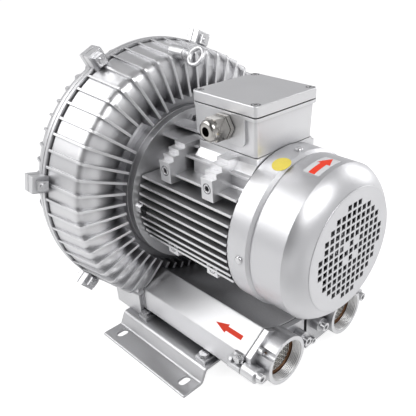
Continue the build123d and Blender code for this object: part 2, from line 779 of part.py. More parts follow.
# Motor frame: finned barrel with flange, saddle for the terminal box and foot pads
barrel_radius = frame_bore_radius + frame_wall
side_fins = range(-4, 5)
under_fins = range(-4, 5)
saddle_top = box_bottom - box_gasket
lead_hole_radius = 16.0
pad_half_length = 9.5
pad_rear_y = pad_front_y + pad_spacing
pad_foot = 15.0  # depth of a pad below its hole
shelf_height = shaft_height + 60.0
upper_fin_height = shaft_height + 80.0
top_fin_heights = (shaft_height + 89.0, shaft_height + 98.0)
spine_half_width = 20.0  # root of the top fins between the box and the flange
spine_low = shaft_height + 70.0
spine_high = shaft_height + 96.0
saddle_edge = 9.0
saddle_half_width = 62.0
pad_steps = ((92.0, 12.0), (85.0, 18.0), (76.0, 24.0), (66.0, 29.0))
bolt_pocket_radius = 11.0
shield_screw_circle = 83.0
shield_screw_depth = 16.0
screw_boss_radius = 8.0
with BuildPart() as motor_frame:
    with BuildSketch(across(flange_front_y)):
        Circle(barrel_radius)
    extrude(amount=frame_length)
    for k in side_fins:
        drop = k * fin_pitch
        with BuildSketch(across(flange_front_y - 2)):
            with Locations((0, drop)):
                Rectangle(2 * sqrt(fin_radius**2 - drop**2), fin_thickness)
    for k in under_fins:
        across_x = k * fin_pitch
        reach = sqrt((fin_radius - 4) ** 2 - across_x**2)
        with BuildSketch(across(flange_front_y - 2)):
            with Locations((across_x, -reach / 2)):
                Rectangle(fin_thickness, reach)
    extrude(amount=frame_length - 2)
    with BuildSketch(across(flange_seat_y)):
        Circle(flange_radius - 0.5)
    extrude(amount=flange_thickness)
    with BuildSketch(upright(box_mid_y - box_half_length)):
        Polygon(
            (-box_half_width, saddle_top),
            (box_half_width, saddle_top),
            (box_half_width, saddle_top - saddle_edge),
            (saddle_half_width - 2, upper_fin_height),
            (saddle_half_width, shelf_height),
            (saddle_half_width - 4, shelf_height - 12),
            (-saddle_half_width + 4, shelf_height - 12),
            (-saddle_half_width, shelf_height),
            (-saddle_half_width + 2, upper_fin_height),
            (-box_half_width, saddle_top - saddle_edge),
            align=None,
        )
    extrude(amount=-2 * box_half_length)
    with BuildSketch(upright(frame_rear_y)):
        for height in (shelf_height, upper_fin_height):
            with Locations((0, height)):
                Rectangle(2 * sqrt(fin_radius**2 - (height - shaft_height) ** 2), fin_thickness)
    extrude(amount=-(pad_rear_y - frame_rear_y))
    with BuildSketch(upright(flange_front_y)):
        with Locations((0, (spine_low + spine_high) / 2)):
            Rectangle(2 * spine_half_width, spine_high - spine_low)
        for height in top_fin_heights:
            with Locations((0, height)):
                Rectangle(2 * sqrt(fin_radius**2 - (height - shaft_height) ** 2), fin_thickness)
    extrude(amount=flange_front_y - box_mid_y - box_half_length)
    for pad_y in (pad_front_y, pad_rear_y):
        with BuildSketch(upright(pad_y - pad_half_length)):
            for reach, top in pad_steps:
                with Locations((0, shaft_height + pad_height + (top - pad_foot) / 2)):
                    Rectangle(2 * reach, top + pad_foot)
            with Locations((0, shaft_height - low_pad_drop)):
                Rectangle(2 * pad_face, 20)
        extrude(amount=-2 * pad_half_length)
    with BuildSketch(across(frame_rear_y)):
        with PolarLocations(shield_screw_circle - 2, 4, start_angle=45):
            Circle(screw_boss_radius)
    extrude(amount=-2 * shield_screw_depth)
    with BuildSketch(across(frame_rear_y)):
        Circle(frame_bore_radius)
    extrude(amount=-(flange_seat_y - frame_rear_y), mode=Mode.SUBTRACT)
    with BuildSketch(across(frame_rear_y)):
        with PolarLocations(shield_screw_circle, 4, start_angle=45):
            Circle(m5["r"] + fit_clearance)
    extrude(amount=-shield_screw_depth, mode=Mode.SUBTRACT)
    with BuildSketch(Plane.XY.offset(saddle_top)):
        with Locations((0, box_mid_y)):
            Circle(lead_hole_radius)
    extrude(amount=-(saddle_top - shaft_height), mode=Mode.SUBTRACT)
    with BuildSketch(across(flange_seat_y)):
        with PolarLocations(flange_bolt_radius, 4):
            Circle(m8["r"] + bolt_clearance)
    extrude(amount=flange_thickness, mode=Mode.SUBTRACT)
    with BuildSketch(across(flange_front_y)):
        with PolarLocations(flange_bolt_radius, 4):
            Circle(bolt_pocket_radius)
    extrude(amount=16.0, mode=Mode.SUBTRACT)
    for side in (-1, 1):
        face = Plane(origin=(side * pad_face, 0, 0), x_dir=(0, 1, 0), z_dir=(side, 0, 0))
        with BuildSketch(face):
            for pad_y in (pad_front_y, pad_rear_y):
                for z in (shaft_height + pad_height, shaft_height - low_pad_drop):
                    with Locations((pad_y, side * z)):
                        Circle(pad_hole_radius)
        extrude(amount=-12.0, mode=Mode.SUBTRACT)
motor_frame.part.label = "motor_frame"
export_step(motor_frame.part, "parts/motor_frame.step")

flange_bolt = hex_bolt(m8, flange_thickness + flange_bolt_depth - 2)
with BuildPart() as flange_bolts:
    with Locations(*[around(a, flange_bolt_radius, flange_front_y, -1) for a in (0, 90, 180, 270)]):
        add(flange_bolt)
flange_bolts.part.label = "flange_bolts"
export_step(flange_bolts.part, "parts/flange_bolts.step")

# Fan end shield with the fan end bearing seat and four lugs for the cowl
shield_radius = 92.0
shield_spigot = 6.0
shield_boss_radius = 34.0
cowl_inner_radius = cowl_band_radius - cowl_sheet
cowl_lug_width = 14.0
cowl_lug_depth = 24.0
cowl_screw_y = -138.0
cowl_seat_gap = 0.2
spring_room = 2.0
lug_reach_radius = sqrt(cowl_inner_radius**2 - (cowl_lug_width / 2) ** 2) - cowl_seat_gap
lug_mid_radius = lug_reach_radius - 10
seat_end_y = fan_bearing_y - fan_bearing["width"] - spring_room
with BuildPart() as fan_end_shield:
    with BuildSketch(across(frame_rear_y)):
        Circle(shield_radius)
    extrude(amount=shield_web)
    with BuildSketch(across(frame_rear_y + shield_spigot)):
        Circle(frame_bore_radius - fit_clearance)
        Circle(frame_bore_radius - 6, mode=Mode.SUBTRACT)
    extrude(amount=shield_spigot)
    with BuildSketch(across(frame_rear_y)):
        Circle(shield_boss_radius)
    extrude(amount=frame_rear_y - seat_end_y + 5)
    with BuildSketch(across(frame_rear_y)):
        with PolarLocations(lug_mid_radius, 4):
            Rectangle(2 * (lug_reach_radius - lug_mid_radius), cowl_lug_width)
    extrude(amount=cowl_lug_depth)
    with BuildSketch(across(frame_rear_y + 2 * shield_spigot)):
        Circle(fan_bearing["outer"] + fit_clearance)
    extrude(amount=frame_rear_y + 2 * shield_spigot - seat_end_y, mode=Mode.SUBTRACT)
    with BuildSketch(across(seat_end_y)):
        Circle(fan_seat_radius + 4)
    extrude(amount=5, mode=Mode.SUBTRACT)
    with BuildSketch(across(frame_rear_y)):
        with PolarLocations(shield_screw_circle, 4, start_angle=45):
            Circle(m5["r"] + bolt_clearance)
    extrude(amount=shield_web, mode=Mode.SUBTRACT)
    for angle in (0, 90, 180, 270):
        a = radians(angle)
        out = (-sin(a), 0, cos(a))
        lug_end = Plane(
            origin=(-cowl_inner_radius * sin(a), cowl_screw_y, shaft_height + cowl_inner_radius * cos(a)),
            x_dir=(0, 1, 0),
            z_dir=out,
        )
        with BuildSketch(lug_end):
            Circle(m5["r"] + fit_clearance)
        extrude(amount=-14, mode=Mode.SUBTRACT)
fan_end_shield.part.label = "fan_end_shield"
export_step(fan_end_shield.part, "parts/fan_end_shield.step")

shield_screw = hex_bolt(m5, shield_web + shield_screw_depth - 2)
with BuildPart() as shield_screws:
    with Locations(
        *[around(a, shield_screw_circle, frame_rear_y - shield_web, -1) for a in (45, 135, 225, 315)]
    ):
        add(shield_screw)
shield_screws.part.label = "shield_screws"
export_step(shield_screws.part, "parts/shield_screws.step")


def bearing_ring(bearing, start_y, inner):
    """Inner or outer ring of a ball bearing with its groove, from start_y towards -Y."""
    pitch = (bearing["bore"] + bearing["outer"]) / 2
    ball = (bearing["outer"] - bearing["bore"]) * 0.28
    side = -1 if inner else 1
    wall = bearing["bore"] if inner else bearing["outer"]
    land = pitch + side * ball * 0.6
    mid_y = start_y - bearing["width"] / 2
    groove = ball + ball_gap
    half = sqrt(groove**2 - (0.6 * ball) ** 2)
    with BuildPart() as ring:
        with BuildSketch(turned):
            with BuildLine():
                Polyline(
                    (land, mid_y - half),
                    (land, start_y - bearing["width"]),
                    (wall, start_y - bearing["width"]),
                    (wall, start_y),
                    (land, start_y),
                    (land, mid_y + half),
                )
                ThreePointArc((land, mid_y + half), (pitch + side * groove, mid_y), (land, mid_y - half))
            make_face()
        revolve(axis=shaft_axis)
    return ring.part


def ball_set(bearing, start_y, count):
    """Balls held by their cage ring."""
    pitch = (bearing["bore"] + bearing["outer"]) / 2
    ball = (bearing["outer"] - bearing["bore"]) * 0.28
    mid_y = start_y - bearing["width"] / 2
    with BuildPart() as balls:
        with BuildSketch(across(mid_y + 0.35 * bearing["width"])):
            Circle(pitch + 0.6)
            Circle(pitch - 0.6, mode=Mode.SUBTRACT)
        extrude(amount=0.7 * bearing["width"])
        with Locations(*[around(k * 360 / count, pitch, mid_y, 1) for k in range(count)]):
            Sphere(ball)
    return balls.part


# Drive end bearing, in the blower housing
drive_inner = bearing_ring(drive_bearing, drive_seat_y, True)
drive_outer = bearing_ring(drive_bearing, drive_seat_y, False)
drive_balls = ball_set(drive_bearing, drive_seat_y, 8)
with BuildPart() as drive_bearing_inner:
    add(drive_inner)
drive_bearing_inner.part.label = "drive_bearing_inner"
export_step(drive_bearing_inner.part, "parts/drive_bearing_inner.step")

with BuildPart() as drive_bearing_outer:
    add(drive_outer)
drive_bearing_outer.part.label = "drive_bearing_outer"
export_step(drive_bearing_outer.part, "parts/drive_bearing_outer.step")

with BuildPart() as drive_bearing_balls:
    add(drive_balls)
drive_bearing_balls.part.label = "drive_bearing_balls"
export_step(drive_bearing_balls.part, "parts/drive_bearing_balls.step")

# Fan end bearing, in the end shield, loaded by a spring washer
fan_inner = bearing_ring(fan_bearing, fan_bearing_y, True)
fan_outer = bearing_ring(fan_bearing, fan_bearing_y, False)
fan_balls = ball_set(fan_bearing, fan_bearing_y, 8)
with BuildPart() as fan_bearing_inner:
    add(fan_inner)
fan_bearing_inner.part.label = "fan_bearing_inner"
export_step(fan_bearing_inner.part, "parts/fan_bearing_inner.step")

with BuildPart() as fan_bearing_outer:
    add(fan_outer)
fan_bearing_outer.part.label = "fan_bearing_outer"
export_step(fan_bearing_outer.part, "parts/fan_bearing_outer.step")

with BuildPart() as fan_bearing_balls:
    add(fan_balls)
fan_bearing_balls.part.label = "fan_bearing_balls"
export_step(fan_bearing_balls.part, "parts/fan_bearing_balls.step")

with BuildPart() as spring_washer:
    with BuildSketch(across(seat_end_y + spring_room)):
        Circle(fan_bearing["outer"] - 0.4)
        Circle(fan_bearing["outer"] - 4, mode=Mode.SUBTRACT)
    extrude(amount=spring_room)
spring_washer.part.label = "spring_washer"
export_step(spring_washer.part, "parts/spring_washer.step")

# Lip seal between the drive end bearing and the ring channel
lip_clearance = 0.05
with BuildPart() as shaft_seal:
    with BuildSketch(turned):
        Polygon(
            (seal_radius - fit_clearance, recess_y - seal_width),
            (seal_radius - fit_clearance, recess_y),
            (seal_radius - 3, recess_y),
            (seal_radius - 4, recess_y - 4),
            (shaft_end_radius + 2, recess_y - 2.5),
            (shaft_end_radius + lip_clearance, recess_y - 4),
            (shaft_end_radius + 3, recess_y - 6),
            (shaft_end_radius + 3, recess_y - seal_width),
            align=None,
        )
    revolve(axis=shaft_axis)
shaft_seal.part.label = "shaft_seal"
export_step(shaft_seal.part, "parts/shaft_seal.step")

# Cooling fan on the free shaft end, held by a ring
fan_hub_radius = 20.0
fan_plate = 3.0
fan_blade = 3.0
fan_clip_thickness = 1.5
with BuildPart() as cooling_fan:
    with BuildSketch(across(fan_mid_y + fan_width / 2)):
        Circle(fan_radius)
    extrude(amount=fan_plate)
    with BuildSketch(across(fan_mid_y + fan_width / 2)):
        with PolarLocations((fan_hub_radius + fan_radius) / 2 - 2, fan_blades):
            Rectangle(fan_radius - fan_hub_radius, fan_blade)
    extrude(amount=fan_width - 4)
    with BuildSketch(across(fan_mid_y + fan_width / 2 + 4)):
        Circle(fan_hub_radius)
    extrude(amount=fan_width + 4)
    with BuildSketch(across(fan_mid_y + fan_width / 2 + 4)):
        Circle(fan_seat_radius + fit_clearance)
    extrude(amount=fan_width + 4, mode=Mode.SUBTRACT)
cooling_fan.part.label = "cooling_fan"
export_step(cooling_fan.part, "parts/cooling_fan.step")

with BuildPart() as fan_clip:
    with BuildSketch(across(fan_end_y)):
        Circle(fan_seat_radius + 4)
        Circle(fan_seat_radius + fit_clearance, mode=Mode.SUBTRACT)
        with Locations((0, -fan_seat_radius - 3)):
            Rectangle(7, 8, mode=Mode.SUBTRACT)
    extrude(amount=fan_clip_thickness)
fan_clip.part.label = "fan_clip"
export_step(fan_clip.part, "parts/fan_clip.step")

# Fan cowl: pressed sheet with a stepped band, a cone and a square mesh
groove_width = 3.0
cone_bulge = 2.0
cone_mid_radius = (cowl_face_radius + cowl_radius) / 2
cone_mid_y = (cowl_face_y + cowl_crease_y) / 2
with BuildPart() as fan_cowl:
    with BuildSketch(turned):
        with BuildLine():
            Polyline((0, cowl_face_y), (cowl_face_radius, cowl_face_y))
            ThreePointArc(
                (cowl_face_radius, cowl_face_y),
                (cone_mid_radius + cone_bulge, cone_mid_y - cone_bulge),
                (cowl_radius, cowl_crease_y),
            )
            Polyline(
                (cowl_radius, cowl_crease_y),
                (cowl_radius, cowl_groove_y - groove_width),
                (cowl_radius - 1, cowl_groove_y),
                (cowl_band_radius, cowl_groove_y + groove_width),
                (cowl_band_radius, cowl_rear_y),
                (cowl_band_radius - cowl_sheet, cowl_rear_y),
                (cowl_band_radius - cowl_sheet, cowl_groove_y + groove_width),
                (cowl_radius - 1 - cowl_sheet, cowl_groove_y),
                (cowl_radius - cowl_sheet, cowl_groove_y - groove_width),
                (cowl_radius - cowl_sheet, cowl_crease_y + 0.5),
            )
            ThreePointArc(
                (cowl_radius - cowl_sheet, cowl_crease_y + 0.5),
                (cone_mid_radius + cone_bulge - 0.7 * cowl_sheet, cone_mid_y - cone_bulge + 0.7 * cowl_sheet),
                (cowl_face_radius - 1, cowl_face_y + cowl_sheet),
            )
            Polyline(
                (cowl_face_radius - 1, cowl_face_y + cowl_sheet),
                (0, cowl_face_y + cowl_sheet),
                (0, cowl_face_y),
            )
        make_face()
    revolve(axis=shaft_axis)
    with BuildSketch(across(cowl_face_y + cowl_sheet)):
        cells = range(-int(mesh_cells), int(mesh_cells) + 1)
        with Locations(
            *[
                (i * mesh_pitch, j * mesh_pitch)
                for i in cells
                for j in cells
                if i * i + j * j <= mesh_cells**2 and not (abs(i) == 1 and abs(j) == 1)
            ]
        ):
            Rectangle(mesh_hole, mesh_hole)
    extrude(amount=cowl_sheet, mode=Mode.SUBTRACT)
    for angle in (0, 90, 180, 270):
        a = radians(angle)
        wall = Plane(
            origin=(-cowl_band_radius * sin(a), cowl_screw_y, shaft_height + cowl_band_radius * cos(a)),
            x_dir=(0, 1, 0),
            z_dir=(-sin(a), 0, cos(a)),
        )
        with BuildSketch(wall):
            Circle(m5["r"] + bolt_clearance)
        extrude(amount=-2 * cowl_sheet, mode=Mode.SUBTRACT)
fan_cowl.part.label = "fan_cowl"
export_step(fan_cowl.part, "parts/fan_cowl.step")

# Round head screws that hold the cowl on the lugs of the end shield
screw_head_radius = 5.0
screw_head_height = 2.6
with BuildPart() as round_screw:
    with BuildSketch():
        Circle(screw_head_radius)
    extrude(amount=screw_head_height)
    fillet(round_screw.edges().sort_by(Axis.Z)[-1], radius=0.7 * screw_head_height)
    with BuildSketch():
        Circle(m5["r"])
    extrude(amount=-12)
with BuildPart() as cowl_screws:
    for angle in (0, 90, 180, 270):
        a = radians(angle)
        top = cowl_band_radius
        seat = Plane(
            origin=(-top * sin(a), cowl_screw_y, shaft_height + top * cos(a)),
            x_dir=(0, 1, 0),
            z_dir=(-sin(a), 0, cos(a)),
        )
        with Locations(seat.location):
            add(round_screw.part)
cowl_screws.part.label = "cowl_screws"
export_step(cowl_screws.part, "parts/cowl_screws.step")

# Terminal box on the saddle of the motor frame: gasket, box, lid gasket, lid and lid screws
box_corner = 5.0
box_floor = 4.0
lid_sheet = 3.0
lid_gasket = 1.5
lid_bottom = box_top
lid_top = lid_bottom + lid_height
lid_half_width = box_half_width + box_flare + lid_overhang
lid_half_length = box_half_length + box_flare + lid_overhang
lid_screw_inset = 7.0
lid_screw_sink = 5.0
lid_recess_radius = 5.5
lid_post_radius = 6.0
lid_post_length = 16.0
inner_half_width = box_half_width + box_flare - box_sheet
inner_half_length = box_half_length + box_flare - box_sheet
lid_screw_x = lid_half_width - lid_screw_inset
lid_screw_y = lid_half_length - lid_screw_inset
post_x = box_half_width + 0.6 * box_flare - lid_post_radius
post_y = box_half_length + 0.6 * box_flare - lid_post_radius
gland_hole_radius = gland_radius + 0.3
box_flange = 3.8
panel_rise = 2.5
gland_seat_x = -(box_half_width + box_flare + panel_rise)
panel_front_y = -104.5
panel_corner = 8.0
panel_bottom = box_bottom + 10.0


def box_places(x, y):
    """The four corners about the middle of the terminal box."""
    return [(i * x, box_mid_y + j * y) for i in (-1, 1) for j in (-1, 1)]


with BuildPart() as terminal_box:
    with BuildSketch(Plane.XY.offset(box_bottom)):
        with Locations((0, box_mid_y)):
            RectangleRounded(2 * box_half_width, 2 * box_half_length, box_corner)
    with BuildSketch(Plane.XY.offset(box_top - lid_gasket)):
        with Locations((0, box_mid_y)):
            RectangleRounded(
                2 * (box_half_width + box_flare), 2 * (box_half_length + box_flare), box_corner
            )
    loft()
    panel_back_y = box_mid_y + box_half_length - 1
    panel_mid_y = (panel_front_y + panel_back_y) / 2
    panel = Plane(origin=(-box_half_width + 1, panel_mid_y, 0), x_dir=(0, 1, 0), z_dir=(-1, 0, 0))
    panel_length = panel_back_y - panel_front_y
    panel_depth = box_top - lid_gasket - panel_bottom
    panel_mid_z = panel_bottom + panel_depth / 2
    with BuildSketch(panel):
        with Locations((0, -panel_mid_z - panel_corner / 2)):
            Rectangle(panel_length, panel_depth - panel_corner)
        with Locations((panel_corner / 2, -panel_mid_z)):
            Rectangle(panel_length - panel_corner, panel_depth)
        with Locations((panel_corner - panel_length / 2, -panel_bottom - panel_corner)):
            Circle(panel_corner)
    extrude(amount=-gland_seat_x - box_half_width + 1)
    with BuildSketch(Plane.XY.offset(box_top - lid_gasket)):
        with Locations((0, box_mid_y)):
            RectangleRounded(2 * lid_half_width, 2 * lid_half_length, box_corner)
    extrude(amount=-box_flange)
    with BuildSketch(Plane.XY.offset(box_bottom + box_floor)):
        with Locations((0, box_mid_y)):
            RectangleRounded(
                2 * (inner_half_width - box_flare), 2 * (inner_half_length - box_flare), 2
            )
    with BuildSketch(Plane.XY.offset(box_top - lid_gasket)):
        with Locations((0, box_mid_y)):
            RectangleRounded(2 * inner_half_width, 2 * inner_half_length, 2)
    loft(mode=Mode.SUBTRACT)
    with BuildSketch(Plane.XY.offset(box_top - lid_gasket)):
        with Locations(*box_places(post_x, post_y)):
            Circle(lid_post_radius)
    extrude(amount=-lid_post_length)
    with BuildSketch(Plane.XY.offset(box_top - lid_gasket)):
        with Locations(*box_places(lid_screw_x, lid_screw_y)):
            Circle(m5["r"] + fit_clearance)
    extrude(amount=-(lid_post_length - 2), mode=Mode.SUBTRACT)
    with BuildSketch(Plane.XY.offset(box_bottom)):
        with Locations((0, box_mid_y)):
            Circle(lead_hole_radius)
    extrude(amount=box_floor, mode=Mode.SUBTRACT)
    with BuildSketch(panel):
        with Locations((gland_y - panel_mid_y, -gland_height)):
            Circle(gland_hole_radius)
    extrude(amount=-3 * box_sheet, both=True, mode=Mode.SUBTRACT)
terminal_box.part.label = "terminal_box"
export_step(terminal_box.part, "parts/terminal_box.step")

with BuildPart() as box_seals:
    with BuildSketch(Plane.XY.offset(saddle_top)):
        with Locations((0, box_mid_y)):
            Rectangle(2 * box_half_width - 4, 2 * box_half_length - 4)
            Circle(lead_hole_radius + 2, mode=Mode.SUBTRACT)
    extrude(amount=box_gasket)
    with BuildSketch(Plane.XY.offset(box_top - lid_gasket)):
        with Locations((0, box_mid_y)):
            RectangleRounded(
                2 * (box_half_width + box_flare) - 1, 2 * (box_half_length + box_flare) - 1, box_corner
            )
            RectangleRounded(2 * inner_half_width, 2 * inner_half_length, 2, mode=Mode.SUBTRACT)
        with Locations(*box_places(lid_screw_x, lid_screw_y)):
            Circle(m5["r"] + bolt_clearance, mode=Mode.SUBTRACT)
    extrude(amount=lid_gasket)
box_seals.part.label = "box_seals"
export_step(box_seals.part, "parts/box_seals.step")

with BuildPart() as terminal_lid:
    with BuildSketch(Plane.XY.offset(lid_bottom)):
        with Locations((0, box_mid_y)):
            RectangleRounded(2 * lid_half_width, 2 * lid_half_length, box_corner)
    extrude(amount=lid_height)
    fillet(terminal_lid.faces().sort_by(Axis.Z)[-1].edges(), radius=1.5)
    with BuildSketch(Plane.XY.offset(lid_bottom)):
        with Locations((0, box_mid_y)):
            RectangleRounded(2 * inner_half_width, 2 * inner_half_length, 2)
    extrude(amount=lid_height - lid_sheet, mode=Mode.SUBTRACT)
    with BuildSketch(Plane.XY.offset(lid_bottom)):
        with Locations(*box_places(post_x, post_y)):
            Circle(lid_post_radius + 2)
    extrude(amount=lid_height - lid_screw_sink / 2)
    with BuildSketch(Plane.XY.offset(lid_top - lid_screw_sink)):
        with Locations(*box_places(lid_screw_x, lid_screw_y)):
            Circle(lid_recess_radius)
    extrude(amount=lid_screw_sink, mode=Mode.SUBTRACT)
    with BuildSketch(Plane.XY.offset(lid_bottom)):
        with Locations(*box_places(lid_screw_x, lid_screw_y)):
            Circle(m5["r"] + bolt_clearance)
    extrude(amount=lid_height, mode=Mode.SUBTRACT)
terminal_lid.part.label = "terminal_lid"
export_step(terminal_lid.part, "parts/terminal_lid.step")

lid_screw_length = lid_height - lid_screw_sink + lid_gasket + lid_post_length - 4
lid_screw = socket_screw(m5, lid_screw_length)
with BuildPart() as lid_screws:
    with Locations(*[(x, y, lid_top - lid_screw_sink) for x, y in box_places(lid_screw_x, lid_screw_y)]):
        add(lid_screw)
lid_screws.part.label = "lid_screws"
export_step(lid_screws.part, "parts/lid_screws.step")

# Terminal block with six studs inside the box
block_bottom = box_bottom + box_floor
block_shift = 28.0
stud_pitch = 16.0
stud_places = [(i * stud_pitch, box_mid_y + block_shift + j * 5.5) for i in (-1, 0, 1) for j in (-1, 1)]
with BuildPart() as terminal_block:
    with BuildSketch(Plane.XY.offset(block_bottom)):
        with Locations((0, box_mid_y + block_shift)):
            Rectangle(60, 20)
    extrude(amount=12)
    with BuildSketch(Plane.XY.offset(block_bottom + 12)):
        with Locations(*[(i * stud_pitch + 8, box_mid_y + block_shift) for i in (-1, 0)]):
            Rectangle(2, 20)
    extrude(amount=6)
    with BuildSketch(Plane.XY.offset(block_bottom + 12)):
        with Locations(*stud_places):
            Circle(2 + fit_clearance)
    extrude(amount=-10, mode=Mode.SUBTRACT)
terminal_block.part.label = "terminal_block"
export_step(terminal_block.part, "parts/terminal_block.step")

with BuildPart() as terminal_studs:
    with BuildSketch(Plane.XY.offset(block_bottom + 2)):
        with Locations(*stud_places):
            Circle(2)
    extrude(amount=20)
    with BuildSketch(Plane.XY.offset(block_bottom + 12)):
        with Locations(*stud_places):
            RegularPolygon(3.5, 6, major_radius=False)
    extrude(amount=3.2)
terminal_studs.part.label = "terminal_studs"
export_step(terminal_studs.part, "parts/terminal_studs.step")

# Cable gland: body, lock nut, sealing sleeve and dome nut on one axis along -X
gland_collar = 5.0
gland_neck = 16.0
gland_flats = 27.0
gland_bore = 7.0
dome_length = 23.5
dome_round = 5.5
gland_washer_thickness = 1.0
collar_x = gland_seat_x - gland_washer_thickness
lock_nut_x = gland_seat_x + box_sheet + panel_rise + box_flare + 4.0
gland_thread = lock_nut_x - collar_x + 1.0
gland_neck_radius = gland_radius - 2.5
sleeve_radius = gland_bore + 0.7


def gland_plane(x):
    """Plane square to the gland axis, looking out of the box."""
    return Plane(origin=(x, gland_y, gland_height), x_dir=(0, 1, 0), z_dir=(-1, 0, 0))


with BuildPart() as gland_body:
    with BuildSketch(gland_plane(collar_x)):
        RegularPolygon(gland_flats / 2, 6, major_radius=False)
    extrude(amount=gland_collar)
    with BuildSketch(gland_plane(collar_x)):
        Circle(gland_radius)
    extrude(amount=-gland_thread)
    with BuildSketch(gland_plane(collar_x - gland_collar)):
        Circle(gland_neck_radius)
    extrude(amount=gland_neck)
    with BuildSketch(gland_plane(collar_x + gland_thread)):
        Circle(gland_bore)
    extrude(amount=gland_thread + gland_collar, mode=Mode.SUBTRACT)
    with BuildSketch(gland_plane(collar_x - gland_collar)):
        Circle(sleeve_radius)
    extrude(amount=gland_neck, mode=Mode.SUBTRACT)
gland_body.part.label = "gland_body"
export_step(gland_body.part, "parts/gland_body.step")

with BuildPart() as gland_washer:
    with BuildSketch(gland_plane(gland_seat_x)):
        Circle(gland_radius + 1)
        Circle(gland_radius + 0.1, mode=Mode.SUBTRACT)
    extrude(amount=gland_washer_thickness)
gland_washer.part.label = "gland_washer"
export_step(gland_washer.part, "parts/gland_washer.step")

with BuildPart() as gland_lock_nut:
    with BuildSketch(gland_plane(lock_nut_x)):
        RegularPolygon(gland_radius + 2.5, 6, major_radius=False)
        Circle(gland_radius + fit_clearance, mode=Mode.SUBTRACT)
    extrude(amount=4.0)
gland_lock_nut.part.label = "gland_lock_nut"
export_step(gland_lock_nut.part, "parts/gland_lock_nut.step")

dome_start_x = collar_x - gland_collar - 0.5
dome_mouth = gland_bore - 1.5
dome_hex_length = 15.0
with BuildPart() as gland_sleeve:
    with BuildSketch(gland_plane(collar_x - gland_collar)):
        Circle(sleeve_radius - fit_clearance)
        Circle(dome_mouth, mode=Mode.SUBTRACT)
    extrude(amount=gland_neck)
gland_sleeve.part.label = "gland_sleeve"
export_step(gland_sleeve.part, "parts/gland_sleeve.step")

with BuildPart() as gland_dome:
    with BuildSketch(gland_plane(dome_start_x)):
        RegularPolygon(gland_flats / 2 - 0.5, 6, major_radius=False)
    extrude(amount=dome_hex_length)
    with BuildSketch(gland_plane(dome_start_x)):
        Circle(gland_flats / 2 - 0.5)
    extrude(amount=dome_length)
    fillet(gland_dome.edges().filter_by(GeomType.CIRCLE).sort_by(Axis.X)[0], radius=dome_round)
    with BuildSketch(gland_plane(dome_start_x)):
        Circle(gland_neck_radius + fit_clearance)
    extrude(amount=gland_neck + 1, mode=Mode.SUBTRACT)
    with BuildSketch(gland_plane(dome_start_x)):
        Circle(dome_mouth)
    extrude(amount=dome_length, mode=Mode.SUBTRACT)
gland_dome.part.label = "gland_dome"
export_step(gland_dome.part, "parts/gland_dome.step")

# Silencers: hollow castings under the motor, bored right through, with foam sleeves and gaskets
silencer_gasket = 1.0
silencer_rear_y = silencer_back_y - silencer_gasket
screw_boss_start_y = silencer_front_y + 22.0
foot_pad_x = 104.5
foot_pad_width = 29.0
foot_pad_length = 20.0
foam_inner_radius = 22.0
foam_gap = 0.3
port_screw_depth = 20.0
side_bolt_y = -142.0
side_bolt_height = 66.5
side_pad_size = 15.5
side_pad_thickness = 4.0


def silencer(side):
    """Casting of one silencer with its screw bosses and front foot pad."""
    with BuildPart() as casting:
        with BuildSketch(upright(silencer_rear_y)):
            add(silencer_outline(silencer_rear_y, side))
        extrude(amount=silencer_rear_y - silencer_front_y)
        with BuildSketch(upright(screw_boss_start_y)):
            with Locations(*[(side * (port_x + j * ear_offset), port_height) for j in (-1, 1)]):
                Circle(ear_radius)
        extrude(amount=screw_boss_start_y - silencer_front_y)
        with BuildSketch(Plane.XY.offset(foot_height)):
            with Locations((side * foot_pad_x, foot_bolt_ys[0])):
                Rectangle(foot_pad_width, foot_pad_length)
        extrude(amount=foot_pad_thickness)
        with BuildSketch(upright(silencer_rear_y)):
            with Locations((side * port_x, port_height)):
                Circle(chamber_radius)
        extrude(amount=silencer_rear_y - silencer_front_y, mode=Mode.SUBTRACT)
        with BuildSketch(upright(silencer_front_y)):
            with Locations(*[(side * (port_x + j * ear_offset), port_height) for j in (-1, 1)]):
                Circle(m8["r"] + fit_clearance)
        extrude(amount=-port_screw_depth, mode=Mode.SUBTRACT)
        with BuildSketch(upright(silencer_rear_y)):
            with Locations(*[(side * x, z) for x, z in tie_places]):
                Circle(m6["r"] + bolt_clearance)
        extrude(amount=silencer_rear_y - silencer_front_y, mode=Mode.SUBTRACT)
        with BuildSketch(Plane.XY.offset(foot_height)):
            with Locations((side * foot_bolt_x, foot_bolt_ys[0])):
                Circle(m8["r"] + bolt_clearance)
        extrude(amount=foot_pad_thickness, mode=Mode.SUBTRACT)
        wall = Plane(origin=(side * silencer_side, side_bolt_y, side_bolt_height), z_dir=(side, 0, 0))
        with BuildSketch(wall):
            Rectangle(side_pad_size + 0.6, side_pad_size + 0.6)
        extrude(amount=2 * ear_radius, mode=Mode.SUBTRACT)
        with BuildSketch(wall):
            Circle(m6["r"] + fit_clearance)
        extrude(amount=-10, mode=Mode.SUBTRACT)
    return casting.part


left_casting = silencer(-1)
with BuildPart() as silencer_left:
    add(left_casting)
silencer_left.part.label = "silencer_left"
export_step(silencer_left.part, "parts/silencer_left.step")

right_casting = silencer(1)
with BuildPart() as silencer_right:
    add(right_casting)
silencer_right.part.label = "silencer_right"
export_step(silencer_right.part, "parts/silencer_right.step")

with BuildPart() as silencer_foam:
    with BuildSketch(upright(silencer_rear_y - 1)):
        with Locations((-port_x, port_height), (port_x, port_height)):
            Circle(chamber_radius - foam_gap)
            Circle(foam_inner_radius, mode=Mode.SUBTRACT)
    extrude(amount=silencer_rear_y - silencer_front_y - 2)
silencer_foam.part.label = "silencer_foam"
export_step(silencer_foam.part, "parts/silencer_foam.step")

# Port flanges with a threaded boss and two ears each, their gaskets and screws
flange_back_y = silencer_front_y - silencer_gasket
plate_front_y = flange_back_y - port_plate
ear_gusset = 7.0
port_throat_radius = 26.0


